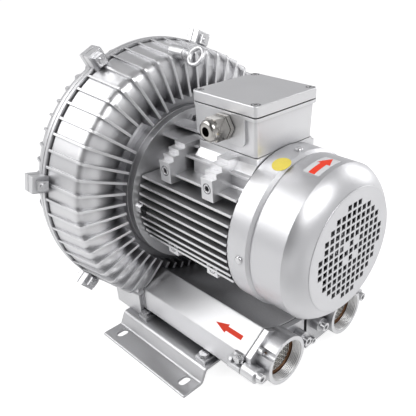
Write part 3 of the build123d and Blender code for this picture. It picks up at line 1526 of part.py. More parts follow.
def port_flange(side):
    """Flange plate with the threaded port boss; side is -1 for the left port."""
    ears = [(side * (port_x + j * ear_offset), port_height) for j in (-1, 1)]
    with BuildPart() as flange:
        with BuildSketch(upright(flange_back_y)):
            add(silencer_outline(flange_back_y, side))
        extrude(amount=port_plate)
        with BuildSketch(upright(flange_back_y)):
            with Locations((side * port_x, port_height)):
                Circle(port_boss_radius)
        extrude(amount=flange_back_y - port_mouth_y)
        with BuildSketch(upright(flange_back_y)):
            with Locations(*ears):
                Circle(ear_radius)
            with Locations((side * port_x, port_height)):
                Rectangle(2 * ear_offset, ear_gusset)
        extrude(amount=flange_back_y - ear_front_y)
        with BuildSketch(upright(port_mouth_y)):
            with Locations((side * port_x, port_height)):
                Circle(port_thread_radius)
        extrude(amount=-thread_length, mode=Mode.SUBTRACT)
        with BuildSketch(upright(port_mouth_y + thread_length)):
            with Locations((side * port_x, port_height)):
                Circle(ring_seat_radius)
        extrude(amount=-ring_seat_length, mode=Mode.SUBTRACT)
        with BuildSketch(upright(port_mouth_y)):
            with Locations((side * port_x, port_height)):
                Circle(port_throat_radius)
        extrude(amount=flange_back_y - port_mouth_y, both=True, mode=Mode.SUBTRACT)
        with BuildSketch(upright(flange_back_y)):
            with Locations(*ears):
                Circle(m8["r"] + bolt_clearance)
        extrude(amount=flange_back_y - ear_front_y, mode=Mode.SUBTRACT)
        with BuildSketch(upright(flange_back_y)):
            with Locations(*[(side * x, z) for x, z in tie_places]):
                Circle(m6["r"] + bolt_clearance)
        extrude(amount=flange_back_y - ear_front_y, mode=Mode.SUBTRACT)
        with BuildSketch(upright(plate_front_y)):
            with Locations(*[(side * x, z) for x, z in tie_places]):
                Circle(1.6 * m6["r"] + bolt_clearance)
        extrude(amount=plate_front_y - port_mouth_y, mode=Mode.SUBTRACT)
    return flange.part


left_flange = port_flange(-1)
with BuildPart() as port_flange_left:
    add(left_flange)
port_flange_left.part.label = "port_flange_left"
export_step(port_flange_left.part, "parts/port_flange_left.step")

right_flange = port_flange(1)
with BuildPart() as port_flange_right:
    add(right_flange)
port_flange_right.part.label = "port_flange_right"
export_step(port_flange_right.part, "parts/port_flange_right.step")

# Gaskets at both ends of the silencers
port_screw_places = [(i * (port_x + j * ear_offset), port_height) for i in (-1, 1) for j in (-1, 1)]
with BuildPart() as silencer_gaskets:
    for y in (silencer_back_y, silencer_front_y):
        for side in (-1, 1):
            with BuildSketch(upright(y)):
                add(silencer_outline(y, side))
                with Locations((side * port_x, port_height)):
                    Circle(chamber_radius, mode=Mode.SUBTRACT)
                with Locations(*[(side * x, z) for x, z in tie_places]):
                    Circle(m6["r"] + bolt_clearance, mode=Mode.SUBTRACT)
                with Locations(*port_screw_places):
                    Circle(m8["r"] + bolt_clearance, mode=Mode.SUBTRACT)
    extrude(amount=silencer_gasket)
silencer_gaskets.part.label = "silencer_gaskets"
export_step(silencer_gaskets.part, "parts/silencer_gaskets.step")

# Wire screen in each port, held at the end of the thread by a snap ring
screen_y = port_mouth_y + thread_length + ring_seat_length
screen_thickness = 1.0
screen_wire = 1.2
screen_pitch = 6.5
screen_radius = port_thread_radius - 0.4
ring_thickness = 1.8
ring_inner_radius = 24.5
with BuildPart() as port_screens:
    with BuildSketch(upright(screen_y)):
        with Locations((-port_x, port_height), (port_x, port_height)):
            Circle(screen_radius)
            Circle(screen_radius - 2.5, mode=Mode.SUBTRACT)
            for k in range(-3, 4):
                wire = 2 * sqrt((screen_radius - 1) ** 2 - (k * screen_pitch) ** 2)
                with Locations((k * screen_pitch, 0)):
                    Rectangle(screen_wire, wire)
                with Locations((0, k * screen_pitch)):
                    Rectangle(wire, screen_wire)
    extrude(amount=screen_thickness)
port_screens.part.label = "port_screens"
export_step(port_screens.part, "parts/port_screens.step")

with BuildPart() as port_rings:
    with BuildSketch(upright(screen_y - screen_thickness)):
        with Locations((-port_x, port_height), (port_x, port_height)):
            Circle(ring_seat_radius - 0.2)
            Circle(ring_inner_radius, mode=Mode.SUBTRACT)
    extrude(amount=ring_thickness)
port_rings.part.label = "port_rings"
export_step(port_rings.part, "parts/port_rings.step")

port_screw = socket_screw(m8, silencer_front_y - ear_front_y + port_screw_depth - 2)
with BuildPart() as port_screws:
    with Locations(upright(ear_front_y)):
        with Locations(*port_screw_places):
            add(port_screw)
port_screws.part.label = "port_screws"
export_step(port_screws.part, "parts/port_screws.step")

tie_screw = socket_screw(m6, silencer_back_y - plate_front_y + 16)
with BuildPart() as tie_screws:
    with Locations(upright(plate_front_y)):
        with Locations(*[(s * x, z) for s in (-1, 1) for x, z in tie_places]):
            add(tie_screw)
tie_screws.part.label = "tie_screws"
export_step(tie_screws.part, "parts/tie_screws.step")

# Plugged tapping on the outer side of each silencer
side_bolt = hex_bolt(m6, side_pad_thickness + 8)
with BuildPart() as side_pads:
    for side in (-1, 1):
        wall = Plane(origin=(side * silencer_side, side_bolt_y, side_bolt_height), z_dir=(side, 0, 0))
        with BuildSketch(wall):
            RectangleRounded(side_pad_size, side_pad_size, 2)
            Circle(m6["r"] + bolt_clearance, mode=Mode.SUBTRACT)
    extrude(amount=side_pad_thickness)
side_pads.part.label = "side_pads"
export_step(side_pads.part, "parts/side_pads.step")

side_pad_x = silencer_side + side_pad_thickness
with BuildPart() as side_bolts:
    for side in (-1, 1):
        seat = Plane(origin=(side * side_pad_x, side_bolt_y, side_bolt_height), z_dir=(side, 0, 0))
        with Locations(seat.location):
            add(side_bolt)
side_bolts.part.label = "side_bolts"
export_step(side_bolts.part, "parts/side_bolts.step")

# Feet: one Z-shaped sheet steel rail on each side, bolted under the silencer and the housing
riser_x = foot_half_width - foot_flange
foot_bend = 5.0


def foot(side):
    """Foot rail with two slots in the lower flange and two bolt holes in the upper one."""
    with BuildPart() as rail:
        with BuildSketch(upright(foot_half_length)):
            with BuildLine() as section:
                FilletPolyline(
                    (side * (foot_half_width), foot_sheet / 2),
                    (side * riser_x, foot_sheet / 2),
                    (side * (riser_x - 9), foot_height - foot_sheet / 2),
                    (side * foot_inner_x, foot_height - foot_sheet / 2),
                    radius=foot_bend,
                )
                offset(amount=foot_sheet / 2, side=Side.BOTH, kind=Kind.INTERSECTION)
            make_face()
        extrude(amount=2 * foot_half_length)
        with BuildSketch(Plane.XY):
            with Locations((side * slot_x, -slot_y), (side * slot_x, slot_y)):
                SlotOverall(slot_length, 2 * slot_radius)
        extrude(amount=foot_sheet, mode=Mode.SUBTRACT)
        with BuildSketch(Plane.XY.offset(foot_height)):
            with Locations(*[(side * foot_bolt_x, y) for y in foot_bolt_ys]):
                Circle(m8["r"] + bolt_clearance)
        extrude(amount=-foot_sheet, mode=Mode.SUBTRACT)
    return rail.part


left_rail = foot(-1)
with BuildPart() as foot_left:
    add(left_rail)
foot_left.part.label = "foot_left"
export_step(foot_left.part, "parts/foot_left.step")

right_rail = foot(1)
with BuildPart() as foot_right:
    add(right_rail)
foot_right.part.label = "foot_right"
export_step(foot_right.part, "parts/foot_right.step")

foot_bolt_places = [(s * foot_bolt_x, y) for s in (-1, 1) for y in foot_bolt_ys]
foot_bolt = hex_bolt(m8, foot_pad_thickness + foot_sheet + nut_height + 2)
with BuildPart() as foot_bolts:
    with Locations(Plane.XY.offset(foot_height + foot_pad_thickness)):
        with Locations(*foot_bolt_places):
            add(foot_bolt)
foot_bolts.part.label = "foot_bolts"
export_step(foot_bolts.part, "parts/foot_bolts.step")

with BuildPart() as foot_nuts:
    with BuildSketch(Plane.XY.offset(foot_height - foot_sheet)):
        with Locations(*foot_bolt_places):
            RegularPolygon(m8["flats"] / 2, 6, major_radius=False)
            Circle(m8["r"] + fit_clearance, mode=Mode.SUBTRACT)
    extrude(amount=-nut_height)
foot_nuts.part.label = "foot_nuts"
export_step(foot_nuts.part, "parts/foot_nuts.step")

# Lifting eye bolt, screwed into the boss on top of the housing
eye_collar_radius = 7.5
eye_collar = 3.0
eye_shank = 16.0
eye_angle = radians(eye_turn)
ring_normal = (-cos(eye_angle), 0, sin(eye_angle))
wire_plane = Plane(
    origin=(0, eye_y - eye_ring_radius, eye_height), z_dir=(sin(eye_angle), 0, cos(eye_angle))
)
with BuildPart() as eye_bolt:
    with BuildSketch(wire_plane):
        Circle(eye_wire_radius)
    revolve(axis=Axis((0, eye_y, eye_height), ring_normal))
    with BuildSketch(upright(eye_boss_y)):
        with Locations((0, eye_height)):
            Circle(eye_collar_radius)
    extrude(amount=eye_collar)
    with BuildSketch(upright(eye_boss_y - eye_collar)):
        with Locations((0, eye_height)):
            Circle(eye_wire_radius + 1.5)
    extrude(amount=eye_boss_y - eye_collar - eye_y - eye_ring_radius)
    with BuildSketch(upright(eye_boss_y)):
        with Locations((0, eye_height)):
            Circle(m8["r"])
    extrude(amount=-eye_shank)
eye_bolt.part.label = "eye_bolt"
export_step(eye_bolt.part, "parts/eye_bolt.step")
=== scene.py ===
# %% [markdown]
# # A side channel blower in silver paint
#
# The machine is a ring-shaped casting with an electric motor bolted to its middle. Two hollow
# silencers lie under the motor and end in threaded ports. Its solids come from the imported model,
# so this file gives them their finishes and adds what a solid model leaves out: pipe threads,
# woven screens, small rings, decals and the light that shows them.
#
# ## Loading the model
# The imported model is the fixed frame. Each of its nodes is a Blender object in metres, with its
# origin at the frame's origin, so a new piece is placed by the same coordinates. The nodes could
# be moved like any object, but then they would no longer agree with the solids.

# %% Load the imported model
import json
import math

import bmesh
import bpy
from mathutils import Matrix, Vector


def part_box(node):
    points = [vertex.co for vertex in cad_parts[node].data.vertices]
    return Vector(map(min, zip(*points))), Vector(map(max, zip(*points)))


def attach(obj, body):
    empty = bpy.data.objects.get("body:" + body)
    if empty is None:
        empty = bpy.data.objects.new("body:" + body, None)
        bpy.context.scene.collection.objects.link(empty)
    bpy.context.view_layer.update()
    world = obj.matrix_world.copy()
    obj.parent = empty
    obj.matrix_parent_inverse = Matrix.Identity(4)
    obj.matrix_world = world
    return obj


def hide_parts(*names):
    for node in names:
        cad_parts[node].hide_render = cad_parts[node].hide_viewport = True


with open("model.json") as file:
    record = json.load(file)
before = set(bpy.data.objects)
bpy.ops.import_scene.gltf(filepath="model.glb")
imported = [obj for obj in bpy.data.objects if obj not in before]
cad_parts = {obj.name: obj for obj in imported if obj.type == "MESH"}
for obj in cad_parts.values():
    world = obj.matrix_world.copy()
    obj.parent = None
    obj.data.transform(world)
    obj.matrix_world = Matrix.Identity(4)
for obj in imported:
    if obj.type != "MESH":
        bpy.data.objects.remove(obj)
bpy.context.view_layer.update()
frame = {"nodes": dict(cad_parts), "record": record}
nodes = frame["nodes"]
scene = bpy.context.scene

# %% [markdown]
# ## Sizes that the new pieces share with the solids
# A decal has to lie on the cowl and a thread has to line the port. Their radii and places could
# be typed in, but then a change to the solids would leave them behind. So they are read off the
# solids' boxes where a box can give them, and the rest is written once, in millimetres turned to
# metres by one factor.

# %% The shaft and the cowl
MM = 0.001


def middle(node):
    """Middle of a node's box."""
    low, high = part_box(node)
    return (low + high) / 2


cowl_low, cowl_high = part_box("fan_cowl")
shaft_height = middle("fan_cowl").z
cowl_band_radius = (cowl_high.x - cowl_low.x) / 2
print("shaft height", round(shaft_height, 4), "cowl radius", round(cowl_band_radius, 4))

# %% The ports
# A snap ring sits in a groove behind each thread. Its box gives the port's middle and its bore.
ring_play = 0.2 * MM
ring_groove_depth = 1.07 * MM
thread_relief = 0.7 * MM
port_low, port_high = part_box("port_rings")
port_height = middle("port_rings").z
ring_width = port_high.z - port_low.z
port_x = port_high.x - ring_width / 2
port_mouth_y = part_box("port_flange_left")[0].y
thread_end_y = port_low.y - thread_relief
bore_radius = ring_width / 2 + ring_play - ring_groove_depth
print("port at", round(port_x, 4), round(port_mouth_y, 4), "bore radius", round(bore_radius, 5))

# %% [markdown]
# ## The camera
# The photograph was taken from the front left and from above, from about 0.7 m. The camera stands
# there with the same lens. It could be turned until the machine sits right in the picture, but a
# turn would change how the upright edges lean, so two small lens shifts do it.

# %% Camera
camera_place = Vector((-0.4462, -0.4930, 0.5333))
camera_target = Vector((0.0, -0.090, 0.180))


def turned_to(place, target):
    """The turn that points an object's -Z axis from its place to a target."""
    return (target - place).to_track_quat("-Z", "Y").to_euler()


camera_data = bpy.data.cameras.new("camera")
camera_data.lens = 45.73
camera_data.sensor_width = 36.0
camera_data.shift_x = -0.1437
camera_data.shift_y = 0.0546
camera = bpy.data.objects.new("camera", camera_data)
camera.location = camera_place
camera.rotation_euler = turned_to(camera_place, camera_target)
scene.collection.objects.link(camera)
scene.camera = camera
print("camera", round((camera_target - camera_place).length, 3), "m from its target")

# %% [markdown]
# ## Shader maths as expressions
# A procedural finish is a sum of masks and noises. Written node by node it takes pages, so one
# small class wraps a socket and lets Python's own operators add the Math nodes. The reflected
# forms are there too, so that `1 - mask` works.


# %% A socket that can be added and multiplied
class Value:
    """A number that varies over a surface, for use in expressions."""

    def __init__(self, tree, socket):
        self.tree = tree
        self.socket = socket

    def maths(self, operation, first, second, clamp=False):
        """Adds a Math node on two terms, each a value or a plain number."""
        node = self.tree.nodes.new("ShaderNodeMath")
        node.operation = operation
        node.use_clamp = clamp
        for entry, term in zip(node.inputs, (first, second)):
            if isinstance(term, Value):
                self.tree.links.new(term.socket, entry)
            else:
                entry.default_value = term
        return Value(self.tree, node.outputs[0])

    def __add__(self, other):
        return self.maths("ADD", self, other)

    def __radd__(self, other):
        return self.maths("ADD", other, self)

    def __sub__(self, other):
        return self.maths("SUBTRACT", self, other)

    def __rsub__(self, other):
        return self.maths("SUBTRACT", other, self)

    def __mul__(self, other):
        return self.maths("MULTIPLY", self, other)

    def __rmul__(self, other):
        return self.maths("MULTIPLY", other, self)

    def size(self):
        """The value without its sign."""
        return self.maths("ABSOLUTE", self, 0.0)

    def clamped(self):
        """The value kept between 0 and 1."""
        return self.maths("ADD", self, 0.0, clamp=True)


print("sums, differences and products of values add Math nodes")

# %% [markdown]
# ## One method that adds any node
# Every other node comes from one method. It sets the node's own settings first and then fills its
# sockets with values or links, because some settings change which sockets a node has. Materials
# and the surround both have a node tree, so both use it.


# %% The tree class
class Tree:
    """A node tree that is filled by one method."""

    def __init__(self, tree):
        self.tree = tree

    def node(self, kind, settings=None, sockets=None, output=0):
        """Adds a node of a type, with its settings and then its sockets."""
        made = self.tree.nodes.new(kind)
        for setting, value in (settings or {}).items():
            setattr(made, setting, value)
        for socket, value in (sockets or {}).items():
            self.feed(made.inputs[socket], value)
        return Value(self.tree, made.outputs[output])

    def feed(self, entry, value):
        """Fills one socket with a link or a plain value."""
        if isinstance(value, Value):
            self.tree.links.new(value.socket, entry)
        else:
            entry.default_value = value

    def colour_mix(self, factor, first, second):
        """Colour that goes from the first to the second as the factor goes from 0 to 1."""
        sockets = {0: factor, 6: first, 7: second}
        return self.node("ShaderNodeMix", {"data_type": "RGBA"}, sockets, 2)

    def along(self, vector, direction):
        """How far a vector reaches in a direction."""
        sockets = {0: vector, 1: direction}
        return self.node("ShaderNodeVectorMath", {"operation": "DOT_PRODUCT"}, sockets, "Value")


print("any node is added by one method")

# %% [markdown]
# ## One finish
# A finish is a material with one main shader. Constants that are the same all over a surface are
# set on the shader itself, because an exported model keeps those. What varies, such as shade
# painted into the corners or a fine grain, is linked from a few nodes.


# %% The finish class
class Finish(Tree):
    """A procedural material with one main shader."""

    def __init__(self, name, colour, roughness, metallic):
        self.material = bpy.data.materials.new(name)
        self.material.use_nodes = True
        super().__init__(self.material.node_tree)
        self.shader = self.tree.nodes["Principled BSDF"]
        self.shader.inputs["Base Color"].default_value = (*colour, 1.0)
        self.shader.inputs["Roughness"].default_value = roughness
        self.shader.inputs["Metallic"].default_value = metallic
        self.material.diffuse_color = (*colour, 1.0)
        self.colour = colour
        self.place = self.node("ShaderNodeTexCoord", output="Object")

    def noise(self, scale, detail=2.0, roughness=0.5):
        """A cloudy value about 0.5."""
        sockets = {"Vector": self.place, "Scale": scale, "Detail": detail, "Roughness": roughness}
        return self.node("ShaderNodeTexNoise", None, sockets)

    def open_air(self, distance):
        """1 in the open and less where other walls stand within the distance."""
        sockets = {"Distance": distance}
        return self.node("ShaderNodeAmbientOcclusion", {"samples": 6}, sockets, "AO")

    def tint(self, factor, other):
        """Base colour that goes to another colour where the factor is 1."""
        mixed = self.colour_mix(factor, (*self.colour, 1.0), (*other, 1.0))
        self.feed(self.shader.inputs["Base Color"], mixed)

    def roughness(self, value):
        """Roughness that varies."""
        self.feed(self.shader.inputs["Roughness"], value)

    def relief(self, height, strength, distance, edge=0.0):
        """Fine relief through one Bump node, on normals that bend round the edges."""
        sockets = {"Height": height, "Strength": strength, "Distance": distance}
        if edge:
            sockets["Normal"] = self.node("ShaderNodeBevel", {"samples": 4}, {"Radius": edge})
        self.feed(self.shader.inputs["Normal"], self.node("ShaderNodeBump", None, sockets))


def share_of(colour, share):
    """A darker colour of the same hue."""
    return tuple(share * c for c in colour)


finishes = {}
wanted = {part["material_slot"] for part in frame["record"]["subparts"]}
print("slots to finish:", ", ".join(sorted(wanted)))

# %% [markdown]
# ## Silver paint on cast metal
# The castings are sprayed with aluminium paint. It is a satin metal with a very fine grain from
# the cast skin under it, slightly cloudy. Shade is painted into its colour: darker between near
# walls and darkest deep behind the motor, where less light reaches. That could be painted on by
# hand, but an Ambient Occlusion node finds such places by itself: one with a short reach for the
# gaps between ribs, and one with a long reach for the deep pockets.
#
# A casting has no sharp edges. Its rounded ribs catch the light in thin bright lines. Cutting
# every edge round would cost many faces, so a Bevel node bends only the normals there.

# %% Silver paint
paint_metallic = 0.88
# Colour of the shade that is painted into the base colour.
painted_shade_colour = (0.22, 0.22, 0.235)
wall_reach = 20 * MM
pocket_reach = 100 * MM
skin_scale = 900.0
skin_depth = 0.4 * MM
cloud_scale = 14.0
cloud_strength = 0.12
skin_roughness = 0.10
least_shade = 0.03


def silver_paint(name, colour, roughness, grain, edge, close=0.65, deep=0.0, onset=0.0):
    """Paint with a share of painted shade near walls, and one in the machine's deep pockets.

    The second shade starts where more than the onset of the open air is gone.
    """
    finish = Finish(name, colour, roughness, paint_metallic)
    skin = finish.noise(skin_scale, detail=3.0, roughness=0.6)
    uneven = (finish.noise(cloud_scale) - 0.5) * cloud_strength
    painted_shade_share = (1 - finish.open_air(wall_reach)) * close
    if deep:
        pocket = (1 - finish.open_air(pocket_reach) - onset).clamped() * (1 / (1 - onset))
        painted_shade_share = painted_shade_share + pocket * deep
    # Painted shade near walls and in the pockets, with random clouds, darkens the base colour.
    finish.tint(painted_shade_share + uneven + least_shade, painted_shade_colour)
    finish.roughness(roughness + uneven + (skin - 0.5) * skin_roughness)
    finish.relief(skin, grain, skin_depth, edge)
    return finish.material


finishes["cast_paint"] = silver_paint(
    "silver_paint", (0.80, 0.80, 0.81), 0.34, 0.30, 1.5 * MM,
    close=0.35, deep=0.85, onset=0.3,
)
finishes["frame_paint"] = silver_paint(
    "silver_paint_frame", (0.82, 0.82, 0.83), 0.36, 0.30, 0.9 * MM,
    close=0.1, deep=0.7, onset=0.45,
)
finishes["silencer_paint"] = silver_paint(
    "silver_paint_silencer", (0.74, 0.74, 0.75), 0.34, 0.30, 3.5 * MM,
    close=0.3, deep=0.9, onset=0.45,
)
finishes["cast_plain"] = silver_paint("bare_casting", (0.60, 0.60, 0.61), 0.5, 0.5, 0.7 * MM)
print("castings:", ", ".join(sorted(finishes)))

# %% [markdown]
# ## The same coat on sheet metal and on the terminal box
# The cowl is pressed sheet and the terminal box is a fine die casting, so both are smoother. The
# feet are folded from coated plate. Their bends are wide and shine as white lines, and the top of
# each foot lies in the dark under its silencer, so strong shade is painted into its colour there.
# Each could be a material written out in full, but all of that is the same paint with other
# numbers, so the same helper serves: less grain, other edge radii and a strong painted shade for
# the feet.

# %% Paint of the cowl, the box and the feet
# The feet carry strong painted shade where the silencers hang over them.
finishes["foot_steel"] = silver_paint(
    "coated_steel", (0.70, 0.70, 0.71), 0.34, 0.15, 2.5 * MM,
    close=0.3, deep=1.0, onset=0.3,
)
finishes["cowl_paint"] = silver_paint(
    "silver_paint_smooth", (0.75, 0.75, 0.765), 0.37, 0.10, 0.8 * MM
)
finishes["box_paint"] = silver_paint(
    "silver_paint_box", (0.83, 0.83, 0.84), 0.40, 0.12, 0.8 * MM
)
print(len(finishes), "painted finishes")

# %% [markdown]
# ## Plated and bare metals
# Fasteners are zinc plated, the shaft and the bearings are ground, and the gland is nickel plated.
# A plain metal of one colour would look like a toy, so each has its own roughness and is a little
# uneven where plating and handling left marks. One noise gives the spots, the roughness and the
# relief, because on real metal a mark changes all three in one place.

# %% Metals
spot_scale = 160.0
spot_onset = 0.35
spot_share = 0.55
spot_roughness = 0.25
plating_grain = 0.08
plating_depth = 0.2 * MM
worn_edge = 0.3 * MM


def metal(name, colour, roughness, marks):
    """A metal with spots that are a little darker and rougher."""
    finish = Finish(name, colour, roughness, 1.0)
    spots = finish.noise(spot_scale, detail=4.0, roughness=0.6)
    finish.tint((spots - spot_onset) * marks, share_of(colour, spot_share))
    finish.roughness(roughness + (spots - 0.5) * spot_roughness)
    finish.relief(spots, plating_grain, plating_depth, worn_edge)
    return finish.material


finishes["zinc"] = metal("zinc_plating", (0.74, 0.74, 0.75), 0.26, 0.5)
finishes["steel"] = metal("ground_steel", (0.62, 0.62, 0.64), 0.22, 0.3)
finishes["nickel"] = metal("nickel_plating", (0.50, 0.485, 0.46), 0.18, 0.5)
finishes["lamination"] = metal("core_sheets", (0.34, 0.34, 0.36), 0.5, 0.6)
finishes["cage"] = metal("cast_cage", (0.70, 0.70, 0.71), 0.45, 0.4)
finishes["copper"] = metal("copper_wire", (0.72, 0.34, 0.16), 0.35, 0.5)
finishes["stud"] = metal("brass_stud", (0.78, 0.60, 0.28), 0.25, 0.4)
finishes["ring"] = metal("tarnished_ring", (0.42, 0.24, 0.14), 0.42, 0.7)
finishes["joint_line"] = metal("dark_joint", (0.16, 0.16, 0.17), 0.5, 0.5)
print(len(finishes), "finishes with the metals")

# %% [markdown]
# ## Metal that is darker in its valleys
# Between the turns of a thread and where wires cross little light reaches, and that shade is
# painted into the colour. Without it the fine relief of both would melt into one grey. The dark
# lines could be modelled as grooves, but an Ambient Occlusion node with a reach of one turn or
# one wire paints them on any shape.

# %% Shaded metals
# Colour of the shade that is painted into the valleys.
valley_shade = (0.10, 0.10, 0.10)
valley_contrast = 1.9
valley_onset = 0.25
valley_roughness = 0.2


def shaded_metal(name, colour, roughness, reach):
    """A metal with painted shade where its own relief hides it from the light."""
    finish = Finish(name, colour, roughness, 1.0)
    spots = finish.noise(spot_scale, detail=4.0, roughness=0.6)
    painted_shade_share = ((1 - finish.open_air(reach)) * valley_contrast - valley_onset).clamped()
    # Painted shade in the valleys of the relief.
    finish.tint(painted_shade_share, valley_shade)
    finish.roughness(roughness + (spots - 0.5) * valley_roughness)
    return finish.material


finishes["screen"] = shaded_metal("screen_wire", (0.92, 0.91, 0.88), 0.34, 1.5 * MM)
finishes["thread"] = shaded_metal("cut_thread", (0.80, 0.80, 0.80), 0.34, 1.6 * MM)
print(len(finishes), "finishes with the shaded metals")

# %% [markdown]
# ## Soft and moulded materials
# Rubber seals, silencer foam, plastic and the films of the decals do not shine like metal. Their
# grain is coarser than that of paint. A photograph of each surface could be wrapped on it, but
# these are small pieces, so one noise with other sizes and strengths serves for all of them.

# %% Soft and moulded finishes
grit_depth = 0.6 * MM
grit_onset = 0.4
grit_strength = 0.4
grit_share = 0.6
grit_roughness = 0.2


def moulded(name, colour, roughness, grain_scale, grain):
    """A dull material with a grit of its own size and strength."""
    finish = Finish(name, colour, roughness, 0.0)
    grit = finish.noise(grain_scale, detail=4.0, roughness=0.6)
    finish.tint((grit - grit_onset) * grit_strength, share_of(colour, grit_share))
    finish.roughness(roughness + (grit - 0.5) * grit_roughness)
    finish.relief(grit, grain, grit_depth)
    return finish.material


finishes["rubber"] = moulded("black_rubber", (0.03, 0.03, 0.032), 0.6, 600.0, 0.2)
finishes["foam"] = moulded("acoustic_foam", (0.05, 0.05, 0.052), 0.95, 350.0, 1.0)
finishes["black_plastic"] = moulded("black_plastic", (0.035, 0.035, 0.038), 0.42, 800.0, 0.15)
finishes["yellow_film"] = moulded("yellow_film", (0.86, 0.70, 0.10), 0.35, 300.0, 0.05)
finishes["red_film"] = moulded("red_film", (0.90, 0.05, 0.015), 0.65, 300.0, 0.05)
finishes["pale_film"] = moulded("pale_film", (0.72, 0.72, 0.73), 0.25, 300.0, 0.05)
print(len(finishes), "finishes, slots still without one:", sorted(wanted - set(finishes)))

# %% [markdown]
# ## Dressing the solids
# The record names a material slot for each node, and most finishes carry that slot's name, so a
# loop dresses nearly everything. A few pieces share a slot but not a look: the cowl is pressed
# sheet, the terminal box is lighter, and frame, eye bolt and silencers take painted shade and
# round edges in their own way. A short table sends those nodes to paints of their own.

# %% Finishes of the solids
slot_of = {part["node"]: part["material_slot"] for part in frame["record"]["subparts"]}
own_finish = {
    "fan_cowl": "cowl_paint",
    "terminal_lid": "box_paint",
    "terminal_box": "box_paint",
    "motor_frame": "frame_paint",
    "eye_bolt": "frame_paint",
    "silencer_left": "silencer_paint",
    "silencer_right": "silencer_paint",
}
for name, piece in nodes.items():
    piece.data.materials.clear()
    piece.data.materials.append(finishes[own_finish.get(name, slot_of[name])])
print("dressed", len(nodes), "solids,", len(own_finish), "of them with a paint of their own")

# %% [markdown]
# ## New pieces
# The pieces below could be drawn by hand with Blender's tools. Here Python works out their points
# and faces, because that gives the same mesh on every run and follows the sizes measured above.
# Each is shaded smooth and rides on the fixed body, like the part it sits on.


# %% Helpers for new pieces
def circle(count):
    """Angles that share a full turn evenly."""
    return [2 * math.pi * k / count for k in range(count)]


def mesh_of(name, points, faces):
    """A mesh from lists of points and faces."""
    mesh = bpy.data.meshes.new(name)
    mesh.from_pydata(points, [], faces)
    mesh.update()
    return mesh


def add_piece(name, mesh, finish):
    """Puts a mesh in the scene as a piece of the fixed body."""
    piece = bpy.data.objects.new(name, mesh)
    scene.collection.objects.link(piece)
    piece.data.materials.append(finishes[finish])
    for face in mesh.polygons:
        face.use_smooth = True
    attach(piece, "blower")
    return piece


print("a circle of 8 has a step of", round(math.degrees(circle(8)[1])), "degrees")

# %% [markdown]
# ## Rings turned about an axis
# The cowl has a pressed bead round its mesh, and the tapped holes of the motor's pads are lined
# with inserts. A torus would do for the bead alone, but the inserts need flat faces and chamfers.
# All are rings of one small section, so one helper turns a section about any axis. Each ring is
# set a little into what carries it, so that no gap shows from any side.


# %% A turned ring
def turned_ring(points, faces, section, centre, outward, steps):
    """Adds a closed section of (radius, height) points, turned about the outward direction."""
    start = len(points)
    count = len(section)
    turn_to = Vector((0, 0, 1)).rotation_difference(outward).to_matrix()
    for a in circle(steps):
        for radius, height in section:
            local = Vector((radius * math.cos(a), radius * math.sin(a), height))
            points.append(centre + turn_to @ local)
    for k in range(steps):
        here = start + k * count
        after = start + (k + 1) % steps * count
        for c in range(count):
            d = (c + 1) % count
            faces.append((here + c, after + c, after + d, here + d))


def ring_piece(name, rings, finish):
    """One piece made of several rings: each has a section, a centre, a direction and steps."""
    points, faces = [], []
    for ring in rings:
        turned_ring(points, faces, *ring)
    piece = add_piece(name, mesh_of(name, points, faces), finish)
    print(name, len(rings), "rings,", len(faces), "faces")


square = ([], [])
turned_ring(*square, [(1, 0), (2, 0), (2, 1)], Vector(), Vector((0, 0, 1)), 4)
print("a section of 3 points turned in 4 steps has", len(square[1]), "faces")

# %% Bead round the mesh
bead_radius = 76.3 * MM
bead_half = 1.7 * MM
bead_height = 0.75 * MM
bead_angles = circle(12)
bead_steps = 96
bead = [(bead_radius + bead_half * math.cos(a), bead_height * math.sin(a)) for a in bead_angles]
bead_centre = Vector((0, cowl_low.y + bead_height, shaft_height))
bead_ring = (bead, bead_centre, Vector((0, -1, 0)), bead_steps)
ring_piece("cowl_bead", [bead_ring], "cowl_paint")

# %% [markdown]
# ## Inserts in the motor's pads
# The pads on both sides of the motor carry tapped holes with steel inserts. From the camera an
# insert is a bright ring with a thin dark line round it, where it meets the paint. A decal could
# draw both, but it would stay flat in the light. So the insert is a ring with a chamfer, and the
# dark line is a second, lower ring round it, whose dark colour is the painted shade of the gap
# there.

# %% Inserts and the painted gap shade round them
pad_face_x = 92.0 * MM
pad_rows_y = (-80.0 * MM, -5.0 * MM)
pad_rows_z = (271.0 * MM, 161.5 * MM)
pad_ring_steps = 32
insert_section = [(5.5, -0.6), (5.5, 0.3), (5.2, 0.5), (4.0, 0.5), (3.45, 0.2), (3.45, -0.6)]
# Section of the dark ring that carries the painted shade of the gap.
gap_shade_section = [(6.5, -0.6), (6.5, 0.1), (6.3, 0.15), (5.4, 0.15), (5.4, -0.6)]


def pad_rings(name, section, finish):
    """The same ring, of a section in millimetres, at the eight holes of the pads."""
    section = [(radius * MM, height * MM) for radius, height in section]
    rings = [
        (section, Vector((side * pad_face_x, y, z)), Vector((side, 0, 0)), pad_ring_steps)
        for side in (-1, 1)
        for y in pad_rows_y
        for z in pad_rows_z
    ]
    ring_piece(name, rings, finish)


pad_rings("pad_inserts", insert_section, "zinc")
# Dark rings: painted shade of the gap round each insert.
pad_rings("pad_insert_gap_shades", gap_shade_section, "joint_line")

# %% [markdown]
# ## Pipe threads
# Each port is cut with a parallel pipe thread. The solid has a smooth bore at the minor radius,
# so the visible thread is a helix of ridges standing in from that wall. A Screw modifier could
# turn a profile into it, but its ends would stand out of the port. Here the thread is a grid of
# quads with a wave in radius along the axis, shifted by one pitch for each turn, and the wave
# fades out at the mouth.

# %% Threads in the ports
thread_pitch = 2.309 * MM
thread_depth = 1.1 * MM
mouth_gap = 0.15 * MM
wall_gap = 0.05 * MM
rows_per_turn = 8
fading_rows = 6
steps_round = 96


